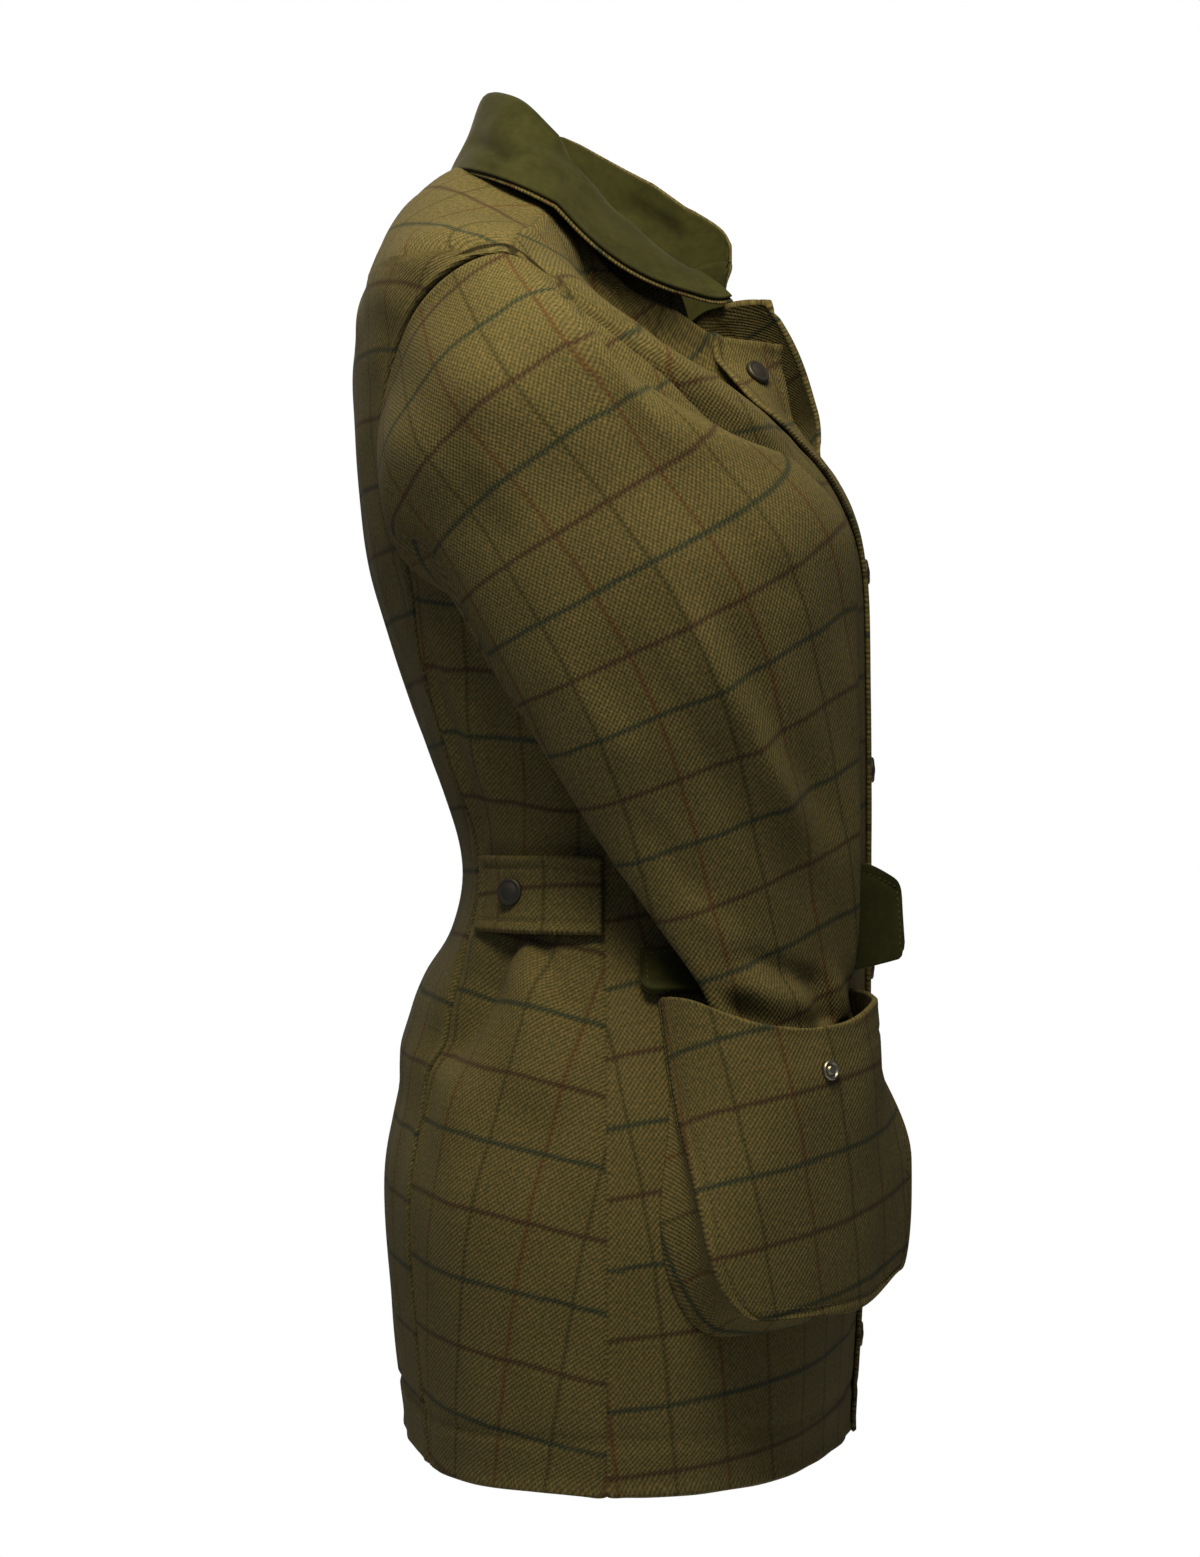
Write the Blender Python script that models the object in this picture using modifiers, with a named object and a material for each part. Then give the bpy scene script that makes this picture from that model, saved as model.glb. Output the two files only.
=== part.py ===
"""Tweed shooting jacket, filled out as if worn, with both sleeve ends tucked into the bellows pockets.

The body is a set of rings from the neck seam to the hem.  Every panel is a stretch of that surface
between two seams, and everything sewn on a panel is made from the panel's own points, moved out.
Lengths in the tables are millimetres.  +Z is up, the front faces -Y, and the wearer's right is -X.
"""
import bpy
import bmesh
import numpy as np
from mathutils import Vector

MM = 0.001

# Cloth and seams
WALL = 2.2
THIN_WALL = 1.6
SEAM = 0.3
SEAM_ANGLE = 0.1
LAID_ON = WALL + 2 * SEAM
FACET_ROOM = 1.0

# Body rings: one row a ring, from the neck seam down to the hem
RING_COLUMNS = ("half_width", "centre_y", "front_y", "back_y", "side_z", "front_z", "back_z", "square",
                "front_drop", "princess_angle")
RINGS = (
    (74, 24, -92, 58, -6, -92, 27, 2.0, 2.6, 50),
    (132, 36, -104, 103, -32, -118, -5, 2.1, 2.0, 50),
    (190, 46, -116, 133, -58, -146, -50, 2.3, 1.2, 50),
    (182, 20, -135, 141, -130, -172, -110, 2.5, 1.2, 50),
    (177, 0, -147, 133, -208, -212, -205, 2.5, 1, 48),
    (164, 0, -150, 108, -290, -290, -290, 2.4, 1, 51),
    (150, 0, -151, 78, -389, -389, -389, 2.3, 1, 55),
    (176, 0, -150, 103, -470, -470, -470, 2.3, 1, 52),
    (198, 0, -149, 122, -560, -560, -560, 2.3, 1, 50),
    (204, 0, -145, 118, -640, -640, -640, 2.2, 1, 51),
    (205, 0, -141, 110, -711, -711, -711, 2.1, 1, 53),
)
NECK, SHOULDER, BUST, HEM = 0, 2, 4, 10
SHOULDER_SEAM_ANGLE = 90.0
SIDE_SEAM_ANGLE = 91.0
BISECTIONS = 26
SHOULDER_ROWS, SKIRT_ROWS = 5, 15

# Front edges: open in a V at the neck, the right front lapped over the left from the bust down
NECK_EDGE_ANGLE = 165.0
LAP_EDGE_ANGLE = 188.0
LAP_STARTS, LAP_FULL = 158.0, 170.0
EDGE_TURNS, EDGE_LAPS = 1.6, 4.4
RIGHT_FLARE, LEFT_FLARE = 17.0, 22.0
FLARE_SPREAD = 36.0
RIGHT_FLARE_ENDS, LEFT_FLARE_ENDS = 1.5, 3.1
RIGHT_NECK_RISE, LEFT_NECK_RISE = -12.0, 25.0
RISE_FULL, RISE_ENDS = 0.6, 2.2
PLACKET_SPAN = 21.0
PLACKET_COLUMNS = 4

# Armhole seam in side view, from the back notch over the shoulder point and under the arm: y, z
ARMHOLE_SPACING = 30.0
SEAM_SPACING = 2.0
ARMHOLE = (
    (113, -190), (118, -140), (95, -80), (50, -58), (12, -92), (-32, -130),
    (-62, -165), (-52, -203), (-20, -226), (25, -234), (70, -228), (102, -210),
)

# Sleeve sections in side view, and how far their inner and outer sides stand off the body
SLEEVE_COLUMNS = ("back_y", "back_z", "front_y", "front_z", "inner_gap", "outer_gap", "inner_drop")
SLEEVE = (
    (90, -214, -106, -166, 9, 58, 58),
    (61, -267, -136, -201, 11, 64, 42),
    (29, -321, -140, -262, 13, 64, 22),
    (0, -369, -141, -318, 15, 60, 9),
    (-26, -407, -142, -373, 16, 53, 3),
    (-52, -444, -141, -424, 14, 39, 0),
    (-72, -480, -135, -468, 11, 34, 0),
)
SLEEVE_FLOOR_X, SLEEVE_FLOOR_POWER = 105.0, 6
SLEEVE_COLUMN_COUNT, CAP_ROWS, ARM_ROWS = 28, 6, 10
CAP_BULGE_OUTER, CAP_BULGE_INNER = 24.0, 5.0
SLEEVE_SEAM_LIFT = WALL + 1.7

# Collar: where the roll line and the free edge lie from the neck seam, out from the neck and up
COLLAR_COLUMNS = ("angle", "roll_out", "roll_up", "edge_out", "edge_up")
COLLAR = (
    (-153, -2, 18, 6, 34),
    (-140, -3, 36, 5, 72),
    (-129, -4, 42, 7, 96),
    (-118, -4, 44, 8, 92),
    (-90, -5, 40, 9, 66),
    (-45, 0, 36, 25, 26),
    (0, 4, 35, 33, -10),
    (40, 0, 33, 34, -11),
    (75, -8, 32, 45, -14),
    (100, -10, 34, 38, -8),
    (125, -10, 40, 30, 10),
    (148, -8, 42, 16, 31),
)
COLLAR_INSET = 3.0
COLLAR_LIFT = 0.6
STAND_BOW = 5.5
LEAF_STANDS, LEAF_TURNS = 40.0, -10.0
COLLAR_GRID = (9, 25)

# Collar section from the neck seam to the free edge, as shares of the roll line and the edge
SECTION_COLUMNS = ("roll_out", "edge_out", "bow", "roll_up", "edge_up", "crown")
COLLAR_SECTION = (
    (0.0, 0.0, 0.0, 0.0, 0.0, 0.0),
    (0.45, 0.0, -0.3, 0.5, 0.0, 0.0),
    (1.0, 0.0, -0.5, 0.9, 0.0, 0.0),
    (1.0, 0.12, 0.8, 1.0, 0.0, 1.5),
    (0.38, 0.62, 0.0, 0.5, 0.5, 0.0),
    (0.0, 1.0, 0.0, 0.0, 1.0, 0.0),
)

# Bellows pocket on each front; its mouth sags by evenly spaced amounts from the back end to the front
POCKET_BACK_ANGLE, POCKET_FRONT_ANGLE = 100.5, 145.0
POCKET_TOP_Z, POCKET_BOTTOM_Z = -454.0, -617.0
POCKET_CORNER, CORNER_PULL = 0.24, 0.22
POCKET_DEPTH = 36.0
POCKET_MOUTH = 46.0
MOUTH_BACK_POWER, MOUTH_FRONT_POWER = 4.0, 2.4
MOUTH_BACK_STARTS, MOUTH_BACK_ENDS = 0.2, 0.9
MOUTH_FRONT_STARTS, MOUTH_FRONT_ENDS = 0.0, 0.6
POCKET_EDGE = 6.5
POCKET_LEAN = 3.5
BOTTOM_RISE = 14.0
POCKET_LINES = 11
MOUTH_SAG = ((2,), (21,), (21,), (8,), (0,))
SAG_ENDS = 0.7
BODY_RADIUS = 190.0

# Gusset lines from the face's rim to the front: share of the pocket's depth, and tuck inwards.
# Low down at the back the gusset is sewn to the front further out than the face's rim.
GUSSET = ((1.0, 1.5), (0.62, 7.0), (0.3, 7.0), (0.0, 1.5))
GUSSET_SPREAD = 14.0
SPREAD_STARTS, SPREAD_FULL, SPREAD_FRONT = 0.25, 0.75, 0.5

# Pocket flap, turned up, from its low back end to its front end, which stands off
FLAP_COLUMNS = ("angle", "root_z", "top_z", "stand_off")
FLAP = (
    (97, -451, -431, 0),
    (111, -450, -422, 0),
    (125, -448, -398, 0),
    (138, -445, -382, 1),
    (146, -441, -383, 14),
    (152, -437, -394, 26),
)
FLAP_GRID = (6, 13)

# Waist tab on each side back
TAB_TIP_ANGLE, TAB_ROOT_ANGLE = 60.0, 90.0
TAB_TOP_Z, TAB_BOTTOM_Z = -378.0, -420.0
TAB_THICK = 3.0
TAB_ROOM = 2.5
TAB_GRID = (6, 7)

# Press studs
CAP_RADIUS, CAP_HEIGHT = 7.5, 2.6
RING_RADIUS, RING_HEIGHT = 5.5, 2.4
STUD_SIDES, STUD_TOP_SHARE = 18, 0.72
PLACKET_STUDS_Z = (-104, -215, -330, -445, -560, -660)
NECK_STUD_ROOM = 0.9
TAB_STUD_Y, TAB_STUD_Z = 49.0, -398.0
FACE_STUD_ROW, FACE_STUD_COLUMN = 1, 4

# Largest folds: side-view ends, height of the ridge (or depth of the trough) and its width
FOLD_COLUMNS = ("start_y", "start_z", "end_y", "end_z", "height", "width")
FOLD_FADE = 0.3
BODY_FOLDS = (
    (106, -225, 52, -370, 5, 15),
    (80, -235, 30, -365, -4, 14),
    (56, -430, 92, -500, -7, 15),
    (30, -425, 40, -520, 5, 16),
    (96, -420, 116, -520, 5, 15),
)
SLEEVE_FOLDS = (
    (-35, -234, -119, -386, 7, 15),
    (20, -215, -60, -400, -4, 16),
)

TWEED = (0.150, 0.112, 0.032)
MOLESKIN = (0.050, 0.052, 0.016)
BLACK_METAL = (0.012, 0.012, 0.013)
STEEL = (0.30, 0.29, 0.27)


def spline_rows(table, places, closed=False):
    """Rows of a table at any place between them, on a smooth curve through every row."""
    rows = np.asarray(table, dtype=float)
    places = np.asarray(places, dtype=float)
    count = len(rows)
    first = np.floor(places).astype(int)
    if not closed:
        first = np.clip(first, 0, count - 2)
    part = (places - first)[..., None]

    def row(index):
        if closed:
            return rows[index % count]
        return rows[np.clip(index, 0, count - 1)]

    before, start, end, after = row(first - 1), row(first), row(first + 1), row(first + 2)
    leave, arrive = (end - before) / 2, (after - start) / 2
    return (start + leave * part + (3 * (end - start) - 2 * leave - arrive) * part ** 2
            + (2 * (start - end) + leave + arrive) * part ** 3)


def ease(low, high, value):
    """0 below low, 1 above high, smooth between."""
    part = np.clip((np.asarray(value, dtype=float) - low) / (high - low), 0, 1)
    return part * part * (3 - 2 * part)


def torso(angle, level):
    """Point of the body at a polar angle (0 is centre back, positive to the right) on a ring."""
    angle, level = np.broadcast_arrays(np.asarray(angle, dtype=float), np.asarray(level, dtype=float))
    ring = dict(zip(RING_COLUMNS, np.moveaxis(spline_rows(RINGS, level), -1, 0)))
    turn = np.radians(angle)
    back_to_front, sideways = np.cos(turn), np.sin(turn)
    behind = back_to_front > 0
    depth = np.where(behind, ring["back_y"] - ring["centre_y"], ring["centre_y"] - ring["front_y"])
    square = ring["square"]
    reach = ((np.abs(back_to_front) / depth) ** square
             + (np.abs(sideways) / ring["half_width"]) ** square) ** (-1 / square)
    share = np.abs(reach * back_to_front / depth)
    rise = np.where(behind, (ring["back_z"] - ring["side_z"]) * share,
                    (ring["front_z"] - ring["side_z"]) * (1 - (1 - np.clip(share, 0, 1)) ** ring["front_drop"]))
    return np.stack((-reach * sideways, ring["centre_y"] + reach * back_to_front,
                     ring["side_z"] + rise), axis=-1)


def outward(angle, level):
    """Unit vector out of the body."""
    step = 0.02
    along = torso(angle, np.clip(level + step, NECK, HEM)) - torso(angle, np.clip(level - step, NECK, HEM))
    around = torso(angle + 0.5, level) - torso(angle - 0.5, level)
    normal = np.cross(along, around)
    return normal / np.linalg.norm(normal, axis=-1, keepdims=True)


def fold_height(folds, y, z):
    """Height of the listed folds at side-view places."""
    height = np.zeros(np.broadcast(y, z).shape)
    for row in folds:
        fold = dict(zip(FOLD_COLUMNS, row))
        run_y, run_z = fold["end_y"] - fold["start_y"], fold["end_z"] - fold["start_z"]
        length = np.hypot(run_y, run_z)
        past_y, past_z = y - fold["start_y"], z - fold["start_z"]
        along = (past_y * run_y + past_z * run_z) / length
        aside = (past_y * run_z - past_z * run_y) / length
        fade = ease(0, FOLD_FADE * length, along) * (1 - ease((1 - FOLD_FADE) * length, length, along))
        height = height + fold["height"] * fade * np.exp(-(aside / fold["width"]) ** 2)
    return height


def body(angle, level, out=0.0):
    """Point of the body cloth, with its folds, moved out."""
    angle, level = np.broadcast_arrays(np.asarray(angle, dtype=float), np.asarray(level, dtype=float))
    point = torso(angle, level)
    behind = np.abs(angle) < SIDE_SEAM_ANGLE + 10
    lift = np.where(behind, fold_height(BODY_FOLDS, point[..., 1], point[..., 2]), 0) + out
    return point + outward(angle, level) * lift[..., None]


def front_edge_angle(level):
    """Angle of a front's free edge: back from the centre at the neck, past it from the bust down."""
    return NECK_EDGE_ANGLE + (LAP_EDGE_ANGLE - NECK_EDGE_ANGLE) * ease(EDGE_TURNS, EDGE_LAPS, level)


def front(angle, level, out=0.0, right=True):
    """Point of a front panel: flared at the open neck, and lapped over the other front if right."""
    angle, level = np.broadcast_arrays(np.asarray(angle, dtype=float), np.asarray(level, dtype=float))
    towards_edge = 1 - (front_edge_angle(level) - angle) / FLARE_SPREAD
    near_edge = ease(0, 1, towards_edge)
    if right:
        flare = RIGHT_FLARE * near_edge * (1 - ease(NECK, RIGHT_FLARE_ENDS, level))
        flare = flare + LAID_ON * ease(LAP_STARTS, LAP_FULL, angle)
    else:
        flare = LEFT_FLARE * near_edge * (1 - ease(SHOULDER / 2, LEFT_FLARE_ENDS, level))
    rise = (RIGHT_NECK_RISE if right else LEFT_NECK_RISE) * ease(0, RISE_FULL, towards_edge)
    rise = rise * (1 - ease(NECK, RISE_ENDS, level))
    return body(angle, level, out + flare) + np.multiply.outer(rise, (0.0, 0.0, 1.0))


def level_at(angle, z):
    """Ring level where a line down the body at this angle passes a height."""
    low, high = np.zeros(np.broadcast(angle, z).shape), np.full(np.broadcast(angle, z).shape, float(HEM))
    for _ in range(BISECTIONS):
        middle = (low + high) / 2
        above = torso(angle, middle)[..., 2] > z
        low, high = np.where(above, middle, low), np.where(above, high, middle)
    return (low + high) / 2


def side_place(y, z):
    """Angle and level of the place on the right side that a side view shows at y, z."""
    y, z = np.broadcast_arrays(np.asarray(y, dtype=float), np.asarray(z, dtype=float))
    low, high = np.full(y.shape, 2.0), np.full(y.shape, 178.0)
    for _ in range(BISECTIONS):
        middle = (low + high) / 2
        behind = torso(middle, level_at(middle, z))[..., 1] > y
        low, high = np.where(behind, middle, low), np.where(behind, high, middle)
    angle = (low + high) / 2
    return angle, level_at(angle, z)


def mirrored(grid):
    """The same piece on the left."""
    return grid[:, ::-1] * np.array((-1.0, 1.0, 1.0))


def finish_material(name, colour, roughness, metallic=0.0):
    material = bpy.data.materials.new(name)
    material.use_nodes = True
    shader = material.node_tree.nodes["Principled BSDF"]
    shader.inputs["Base Color"].default_value = (*colour, 1.0)
    shader.inputs["Roughness"].default_value = roughness
    shader.inputs["Metallic"].default_value = metallic
    return material


def cloth(name, grid, thickness, side, colour, closed=False):
    """A piece of cloth: a grid of points with a wall raised on one side of it (1 out, -1 in)."""
    rows, columns = grid.shape[:2]
    wrap = columns if closed else columns - 1
    faces = []
    for row in range(rows - 1):
        for column in range(wrap):
            following = (column + 1) % columns
            faces.append((row * columns + column, (row + 1) * columns + column,
                          (row + 1) * columns + following, row * columns + following))
    mesh = bpy.data.meshes.new(name)
    mesh.from_pydata((grid.reshape(-1, 3) * MM).tolist(), [], faces)
    mesh.shade_smooth()
    piece = bpy.data.objects.new(name, mesh)
    mesh.materials.append(finish_material(name, colour, 0.9))
    wall = piece.modifiers.new("wall", "SOLIDIFY")
    wall.thickness = thickness * MM
    wall.offset = side
    jacket.objects.link(piece)
    return piece


def stud(name, place, normal, radius, height, colour, metallic):
    """A press stud: a low domed cap standing on the cloth."""
    mesh = bpy.data.meshes.new(name)
    shape = bmesh.new()
    bmesh.ops.create_cone(shape, cap_ends=True, segments=STUD_SIDES, radius1=radius * MM,
                          radius2=STUD_TOP_SHARE * radius * MM, depth=height * MM)
    shape.to_mesh(mesh)
    shape.free()
    mesh.materials.append(finish_material(name, colour, 0.35, metallic))
    piece = bpy.data.objects.new(name, mesh)
    lift = np.asarray(normal) * height / 2
    piece.location = Vector(((place + lift) * MM).tolist())
    piece.rotation_euler = Vector(normal.tolist()).to_track_quat("Z", "Y").to_euler()
    jacket.objects.link(piece)
    return piece


for old in list(bpy.data.objects):
    bpy.data.objects.remove(old, do_unlink=True)
jacket = bpy.data.collections.new("tweed_shooting_jacket")
bpy.context.scene.collection.children.link(jacket)

# Armhole seam as angles and levels on the body
seam_turns = np.arange(0, 360, SEAM_SPACING)
seam_side_view = spline_rows(ARMHOLE, seam_turns / ARMHOLE_SPACING, closed=True)
seam_angles, seam_levels = side_place(seam_side_view[:, 0], seam_side_view[:, 1])
shoulder_point = int(np.argmin(np.abs(seam_turns - 90)))
lower_arc = np.arange(len(seam_turns))[seam_turns >= 200]
side_meets = int(lower_arc[np.argmax(seam_angles[lower_arc] < SIDE_SEAM_ANGLE)])
late_arc = np.arange(len(seam_turns))[seam_turns >= 290]
princess_meets = int(late_arc[np.argmax(seam_levels[late_arc] < BUST)])
underarm_level = seam_levels[side_meets]

front_arc = np.arange(shoulder_point, side_meets + 1)
back_arc = np.concatenate((np.arange(shoulder_point, -1, -1),
                           np.arange(len(seam_turns) - 1, princess_meets - 1, -1)))


def princess_angle(level):
    """Angle of the seam between the back and the side back, which runs down from the armhole."""
    table = np.array([row[-1] for row in RINGS], dtype=float)[:, None]
    table[BUST] = seam_angles[princess_meets]
    return spline_rows(table, level)[..., 0]


def back_limit(level):
    """Angle of the back's edge: shoulder seam, armhole, then the princess seam."""
    on_armhole = np.interp(level, seam_levels[back_arc], seam_angles[back_arc])
    above = np.where(level <= SHOULDER, SHOULDER_SEAM_ANGLE, on_armhole)
    return np.where(level >= BUST, princess_angle(level), above) - SEAM_ANGLE


def front_limit(level):
    """Angle of a front's back edge: shoulder seam, armhole, then the side seam."""
    on_armhole = np.interp(level, seam_levels[front_arc], seam_angles[front_arc])
    above = np.where(level <= SHOULDER, SHOULDER_SEAM_ANGLE, on_armhole)
    return np.where(level >= underarm_level, SIDE_SEAM_ANGLE, above) + SEAM_ANGLE


def row_levels(middle, armhole_rows):
    """Levels of a panel's rows, closer together at the top and bottom of the armhole."""
    swing = (1 - np.cos(np.linspace(0, np.pi, armhole_rows))) / 2
    return np.concatenate((np.linspace(NECK, SHOULDER, SHOULDER_ROWS)[:-1],
                           SHOULDER + (middle - SHOULDER) * swing,
                           np.linspace(middle, HEM, SKIRT_ROWS)[1:]))


# Back panel
back_rows = row_levels(BUST, 9)[:, None]
back_half = np.linspace(-1, 1, 19)[None, :]
cloth("back_panel", body(back_half * back_limit(back_rows), back_rows), WALL, 1, TWEED)

# Side backs, from the underarm to the hem
across_side = np.linspace(0, 1, 10)[None, :]
down_side = np.linspace(0, 1, SKIRT_ROWS)[:, None]
seam_steps = princess_meets - side_meets
top_place = princess_meets - across_side * seam_steps
top_angle = np.interp(top_place, np.arange(len(seam_turns)), seam_angles)
top_level = np.interp(top_place, np.arange(len(seam_turns)), seam_levels)
side_level = top_level + (HEM - top_level) * down_side


def side_back_angle(level):
    edge = princess_angle(level) + SEAM_ANGLE
    return edge + (SIDE_SEAM_ANGLE - SEAM_ANGLE - edge) * across_side


side_angle = side_back_angle(side_level) + (top_angle - side_back_angle(top_level)) * (1 - down_side) ** 4
side_back = body(side_angle, side_level)
cloth("side_back_R", side_back, WALL, 1, TWEED)
cloth("side_back_L", mirrored(side_back), WALL, 1, TWEED)

# Fronts, and the storm placket on the right one
front_rows = row_levels(underarm_level, 10)[:, None]
placket_part = np.linspace(0, 1, PLACKET_COLUMNS + 1)[None, :]
placket_angle = front_edge_angle(front_rows) - PLACKET_SPAN * (1 - placket_part)
panel_part = np.linspace(0, 1, 12)[None, :-1]
panel_angle = front_limit(front_rows) + (placket_angle[:, :1] - front_limit(front_rows)) * panel_part
front_angle = np.concatenate((panel_angle, placket_angle), axis=1)
cloth("front_R", front(front_angle, front_rows), WALL, 1, TWEED)
cloth("front_L", mirrored(front(front_angle, front_rows, right=False)), WALL, 1, TWEED)
cloth("storm_placket_R", front(placket_angle, front_rows, LAID_ON), WALL, 1, TWEED)

# Sleeves: from the armhole seam over the cap, down the body's side and into the pocket
sleeve_turns = np.linspace(0, 360, SLEEVE_COLUMN_COUNT, endpoint=False)
arm_side_view = spline_rows(ARMHOLE, sleeve_turns / ARMHOLE_SPACING, closed=True)
arm_angle, arm_level = side_place(arm_side_view[:, 0], arm_side_view[:, 1])
arm_out = outward(arm_angle, arm_level)
arm_seam = body(arm_angle, arm_level, SLEEVE_SEAM_LIFT)
round_turn = np.radians(sleeve_turns)
chord, bulge = -np.cos(round_turn), np.sin(round_turn)

sleeve_rings = []
for row in SLEEVE:
    arm = dict(zip(SLEEVE_COLUMNS, row))
    ring_y = (arm["back_y"] + arm["front_y"]) / 2 + chord * (arm["front_y"] - arm["back_y"]) / 2
    ring_z = (arm["back_z"] + arm["front_z"]) / 2 + chord * (arm["front_z"] - arm["back_z"]) / 2
    ring_z = ring_z - arm["inner_drop"] * np.clip(-bulge, 0, 1)
    off_body = (arm["inner_gap"] + arm["outer_gap"]) / 2 + bulge * (arm["outer_gap"] - arm["inner_gap"]) / 2
    off_body = off_body + np.clip(bulge, 0, 1) * fold_height(SLEEVE_FOLDS, ring_y, ring_z)
    ring = torso(*side_place(ring_y, ring_z))
    reach_x = ring[:, 0] ** SLEEVE_FLOOR_POWER + SLEEVE_FLOOR_X ** SLEEVE_FLOOR_POWER
    ring[:, 0] = -reach_x ** (1 / SLEEVE_FLOOR_POWER) - off_body
    sleeve_rings.append(ring)
cap_bulge = CAP_BULGE_INNER + (CAP_BULGE_OUTER - CAP_BULGE_INNER) * ((1 + bulge) / 2) ** 2
cap = (arm_seam + sleeve_rings[0]) / 2 + arm_out * cap_bulge[:, None]
sleeve_lines = np.stack([arm_seam, cap] + sleeve_rings)
sleeve_places = np.concatenate((np.linspace(0, 2, CAP_ROWS + 1)[:-1],
                                np.linspace(2, len(SLEEVE) + 1, ARM_ROWS)))
sleeve = spline_rows(sleeve_lines.reshape(len(sleeve_lines), -1), sleeve_places)
sleeve = sleeve.reshape(len(sleeve_places), len(sleeve_turns), 3)
cloth("sleeve_R", sleeve, WALL, -1, TWEED, closed=True)
cloth("sleeve_L", mirrored(sleeve), WALL, -1, TWEED, closed=True)


def neck_seam(angle):
    """Neck seam point of the panel that the collar is sewn to at this angle."""
    right = front(angle, NECK)
    left = front(-angle, NECK, right=False) * np.array((-1.0, 1.0, 1.0))
    behind = body(angle, NECK)
    on_front = (np.abs(angle) > SHOULDER_SEAM_ANGLE)[..., None]
    return np.where(on_front, np.where((angle > 0)[..., None], right, left), behind)


# Collar: a stand and a turned leaf, moleskin on top and tweed beneath
collar_place = np.linspace(0, len(COLLAR) - 1, COLLAR_GRID[1])
collar_rows = dict(zip(COLLAR_COLUMNS, spline_rows(COLLAR, collar_place).T))
seam_point = neck_seam(collar_rows["angle"])
away = seam_point - np.array((0.0, RINGS[NECK][1], 0.0))
away[:, 2] = 0
away /= np.linalg.norm(away, axis=1, keepdims=True)
up = np.array((0.0, 0.0, 1.0))
seam_point = seam_point - away * COLLAR_INSET + up * COLLAR_LIFT
turned = ease(LEAF_STANDS, LEAF_TURNS, collar_rows["edge_up"] - collar_rows["roll_up"])
section = []
for row in COLLAR_SECTION:
    share = dict(zip(SECTION_COLUMNS, row))
    out = share["roll_out"] * collar_rows["roll_out"] + share["edge_out"] * collar_rows["edge_out"]
    rise = share["roll_up"] * collar_rows["roll_up"] + share["edge_up"] * collar_rows["edge_up"]
    out = out + share["bow"] * STAND_BOW * turned
    rise = rise + share["crown"] * turned
    section.append(seam_point + away * out[:, None] + up * rise[:, None])
section = np.stack(section)
collar_steps = np.linspace(0, len(section) - 1, COLLAR_GRID[0])
collar_grid = spline_rows(section.reshape(len(section), -1), collar_steps).reshape(len(collar_steps), -1, 3)
collar_normal = np.cross(np.gradient(collar_grid, axis=0), np.gradient(collar_grid, axis=1))
collar_normal /= np.linalg.norm(collar_normal, axis=2, keepdims=True)
cloth("collar_top", collar_grid + collar_normal * SEAM / 2, THIN_WALL, 1, MOLESKIN)
cloth("collar_under", collar_grid - collar_normal * SEAM / 2, THIN_WALL, -1, TWEED)

# Bellows pockets: a face that stands off the front on a tucked gusset
pocket_down = np.linspace(0, 1, POCKET_LINES)[:, None]
pocket_across = np.linspace(-1, 1, POCKET_LINES)[None, :]
to_front = (1 + pocket_across) / 2
corner_run = np.clip((pocket_down - (1 - POCKET_CORNER)) / POCKET_CORNER, 0, 1)
corner_pull = CORNER_PULL * (1 - np.sqrt(1 - corner_run ** 2))
pocket_middle = (POCKET_BACK_ANGLE + POCKET_FRONT_ANGLE) / 2
pocket_half = (POCKET_FRONT_ANGLE - POCKET_BACK_ANGLE) / 2
face_angle = pocket_middle + pocket_half * pocket_across * (1 - corner_pull)
face_angle = face_angle + POCKET_LEAN * pocket_down * (1 - pocket_across) / 2
sag_place = to_front * (len(MOUTH_SAG) - 1)
mouth_sag = spline_rows(MOUTH_SAG, sag_place)[..., 0] * (1 - ease(0.0, SAG_ENDS, pocket_down))
face_z = POCKET_TOP_Z + (POCKET_BOTTOM_Z - POCKET_TOP_Z) * pocket_down - mouth_sag
face_z = face_z + BOTTOM_RISE * pocket_down ** 2 * ease(0.0, 1.0, pocket_across)
mouth_power = np.where(pocket_across < 0, MOUTH_BACK_POWER, MOUTH_FRONT_POWER)
mouth_height = POCKET_EDGE + (POCKET_MOUTH - POCKET_EDGE) * (1 - np.abs(pocket_across) ** mouth_power)
mouth_starts = MOUTH_BACK_STARTS + (MOUTH_FRONT_STARTS - MOUTH_BACK_STARTS) * to_front
mouth_ends = MOUTH_BACK_ENDS + (MOUTH_FRONT_ENDS - MOUTH_BACK_ENDS) * to_front
face_height = mouth_height + (POCKET_DEPTH - mouth_height) * ease(mouth_starts, mouth_ends, pocket_down)
face_level = level_at(face_angle, face_z)
pocket_face = front(face_angle, face_level, face_height)

last = POCKET_LINES - 1
rim = [(row, 0) for row in range(POCKET_LINES)] + [(last, column) for column in range(1, last)]
rim += [(row, last) for row in range(last, -1, -1)]
rim_rows, rim_columns = np.array(rim).T
rim_angle, rim_z = face_angle[rim_rows, rim_columns], face_z[rim_rows, rim_columns]
rim_height = face_height[rim_rows, rim_columns]
rim_run, rim_fall = np.gradient(np.radians(rim_angle) * BODY_RADIUS), np.gradient(rim_z)
rim_step = np.hypot(rim_run, rim_fall)
rim_spread = GUSSET_SPREAD * ease(SPREAD_STARTS, SPREAD_FULL, rim_rows / last)
rim_spread = rim_spread * (1 - ease(SPREAD_FRONT, 1.0, rim_columns / last))
gusset_lines = []
for share, tuck in GUSSET:
    top_height, base_height = rim_height - 2 * SEAM, LAID_ON + SEAM
    height = base_height + (top_height - base_height) * share
    beyond = rim_spread * (1 - share) - tuck * rim_height / POCKET_DEPTH
    angle = rim_angle + np.degrees(beyond * rim_fall / rim_step / BODY_RADIUS)
    z = rim_z - beyond * rim_run / rim_step
    gusset_lines.append(front(angle, level_at(angle, z), height))
pocket_gusset = np.stack(gusset_lines)

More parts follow.
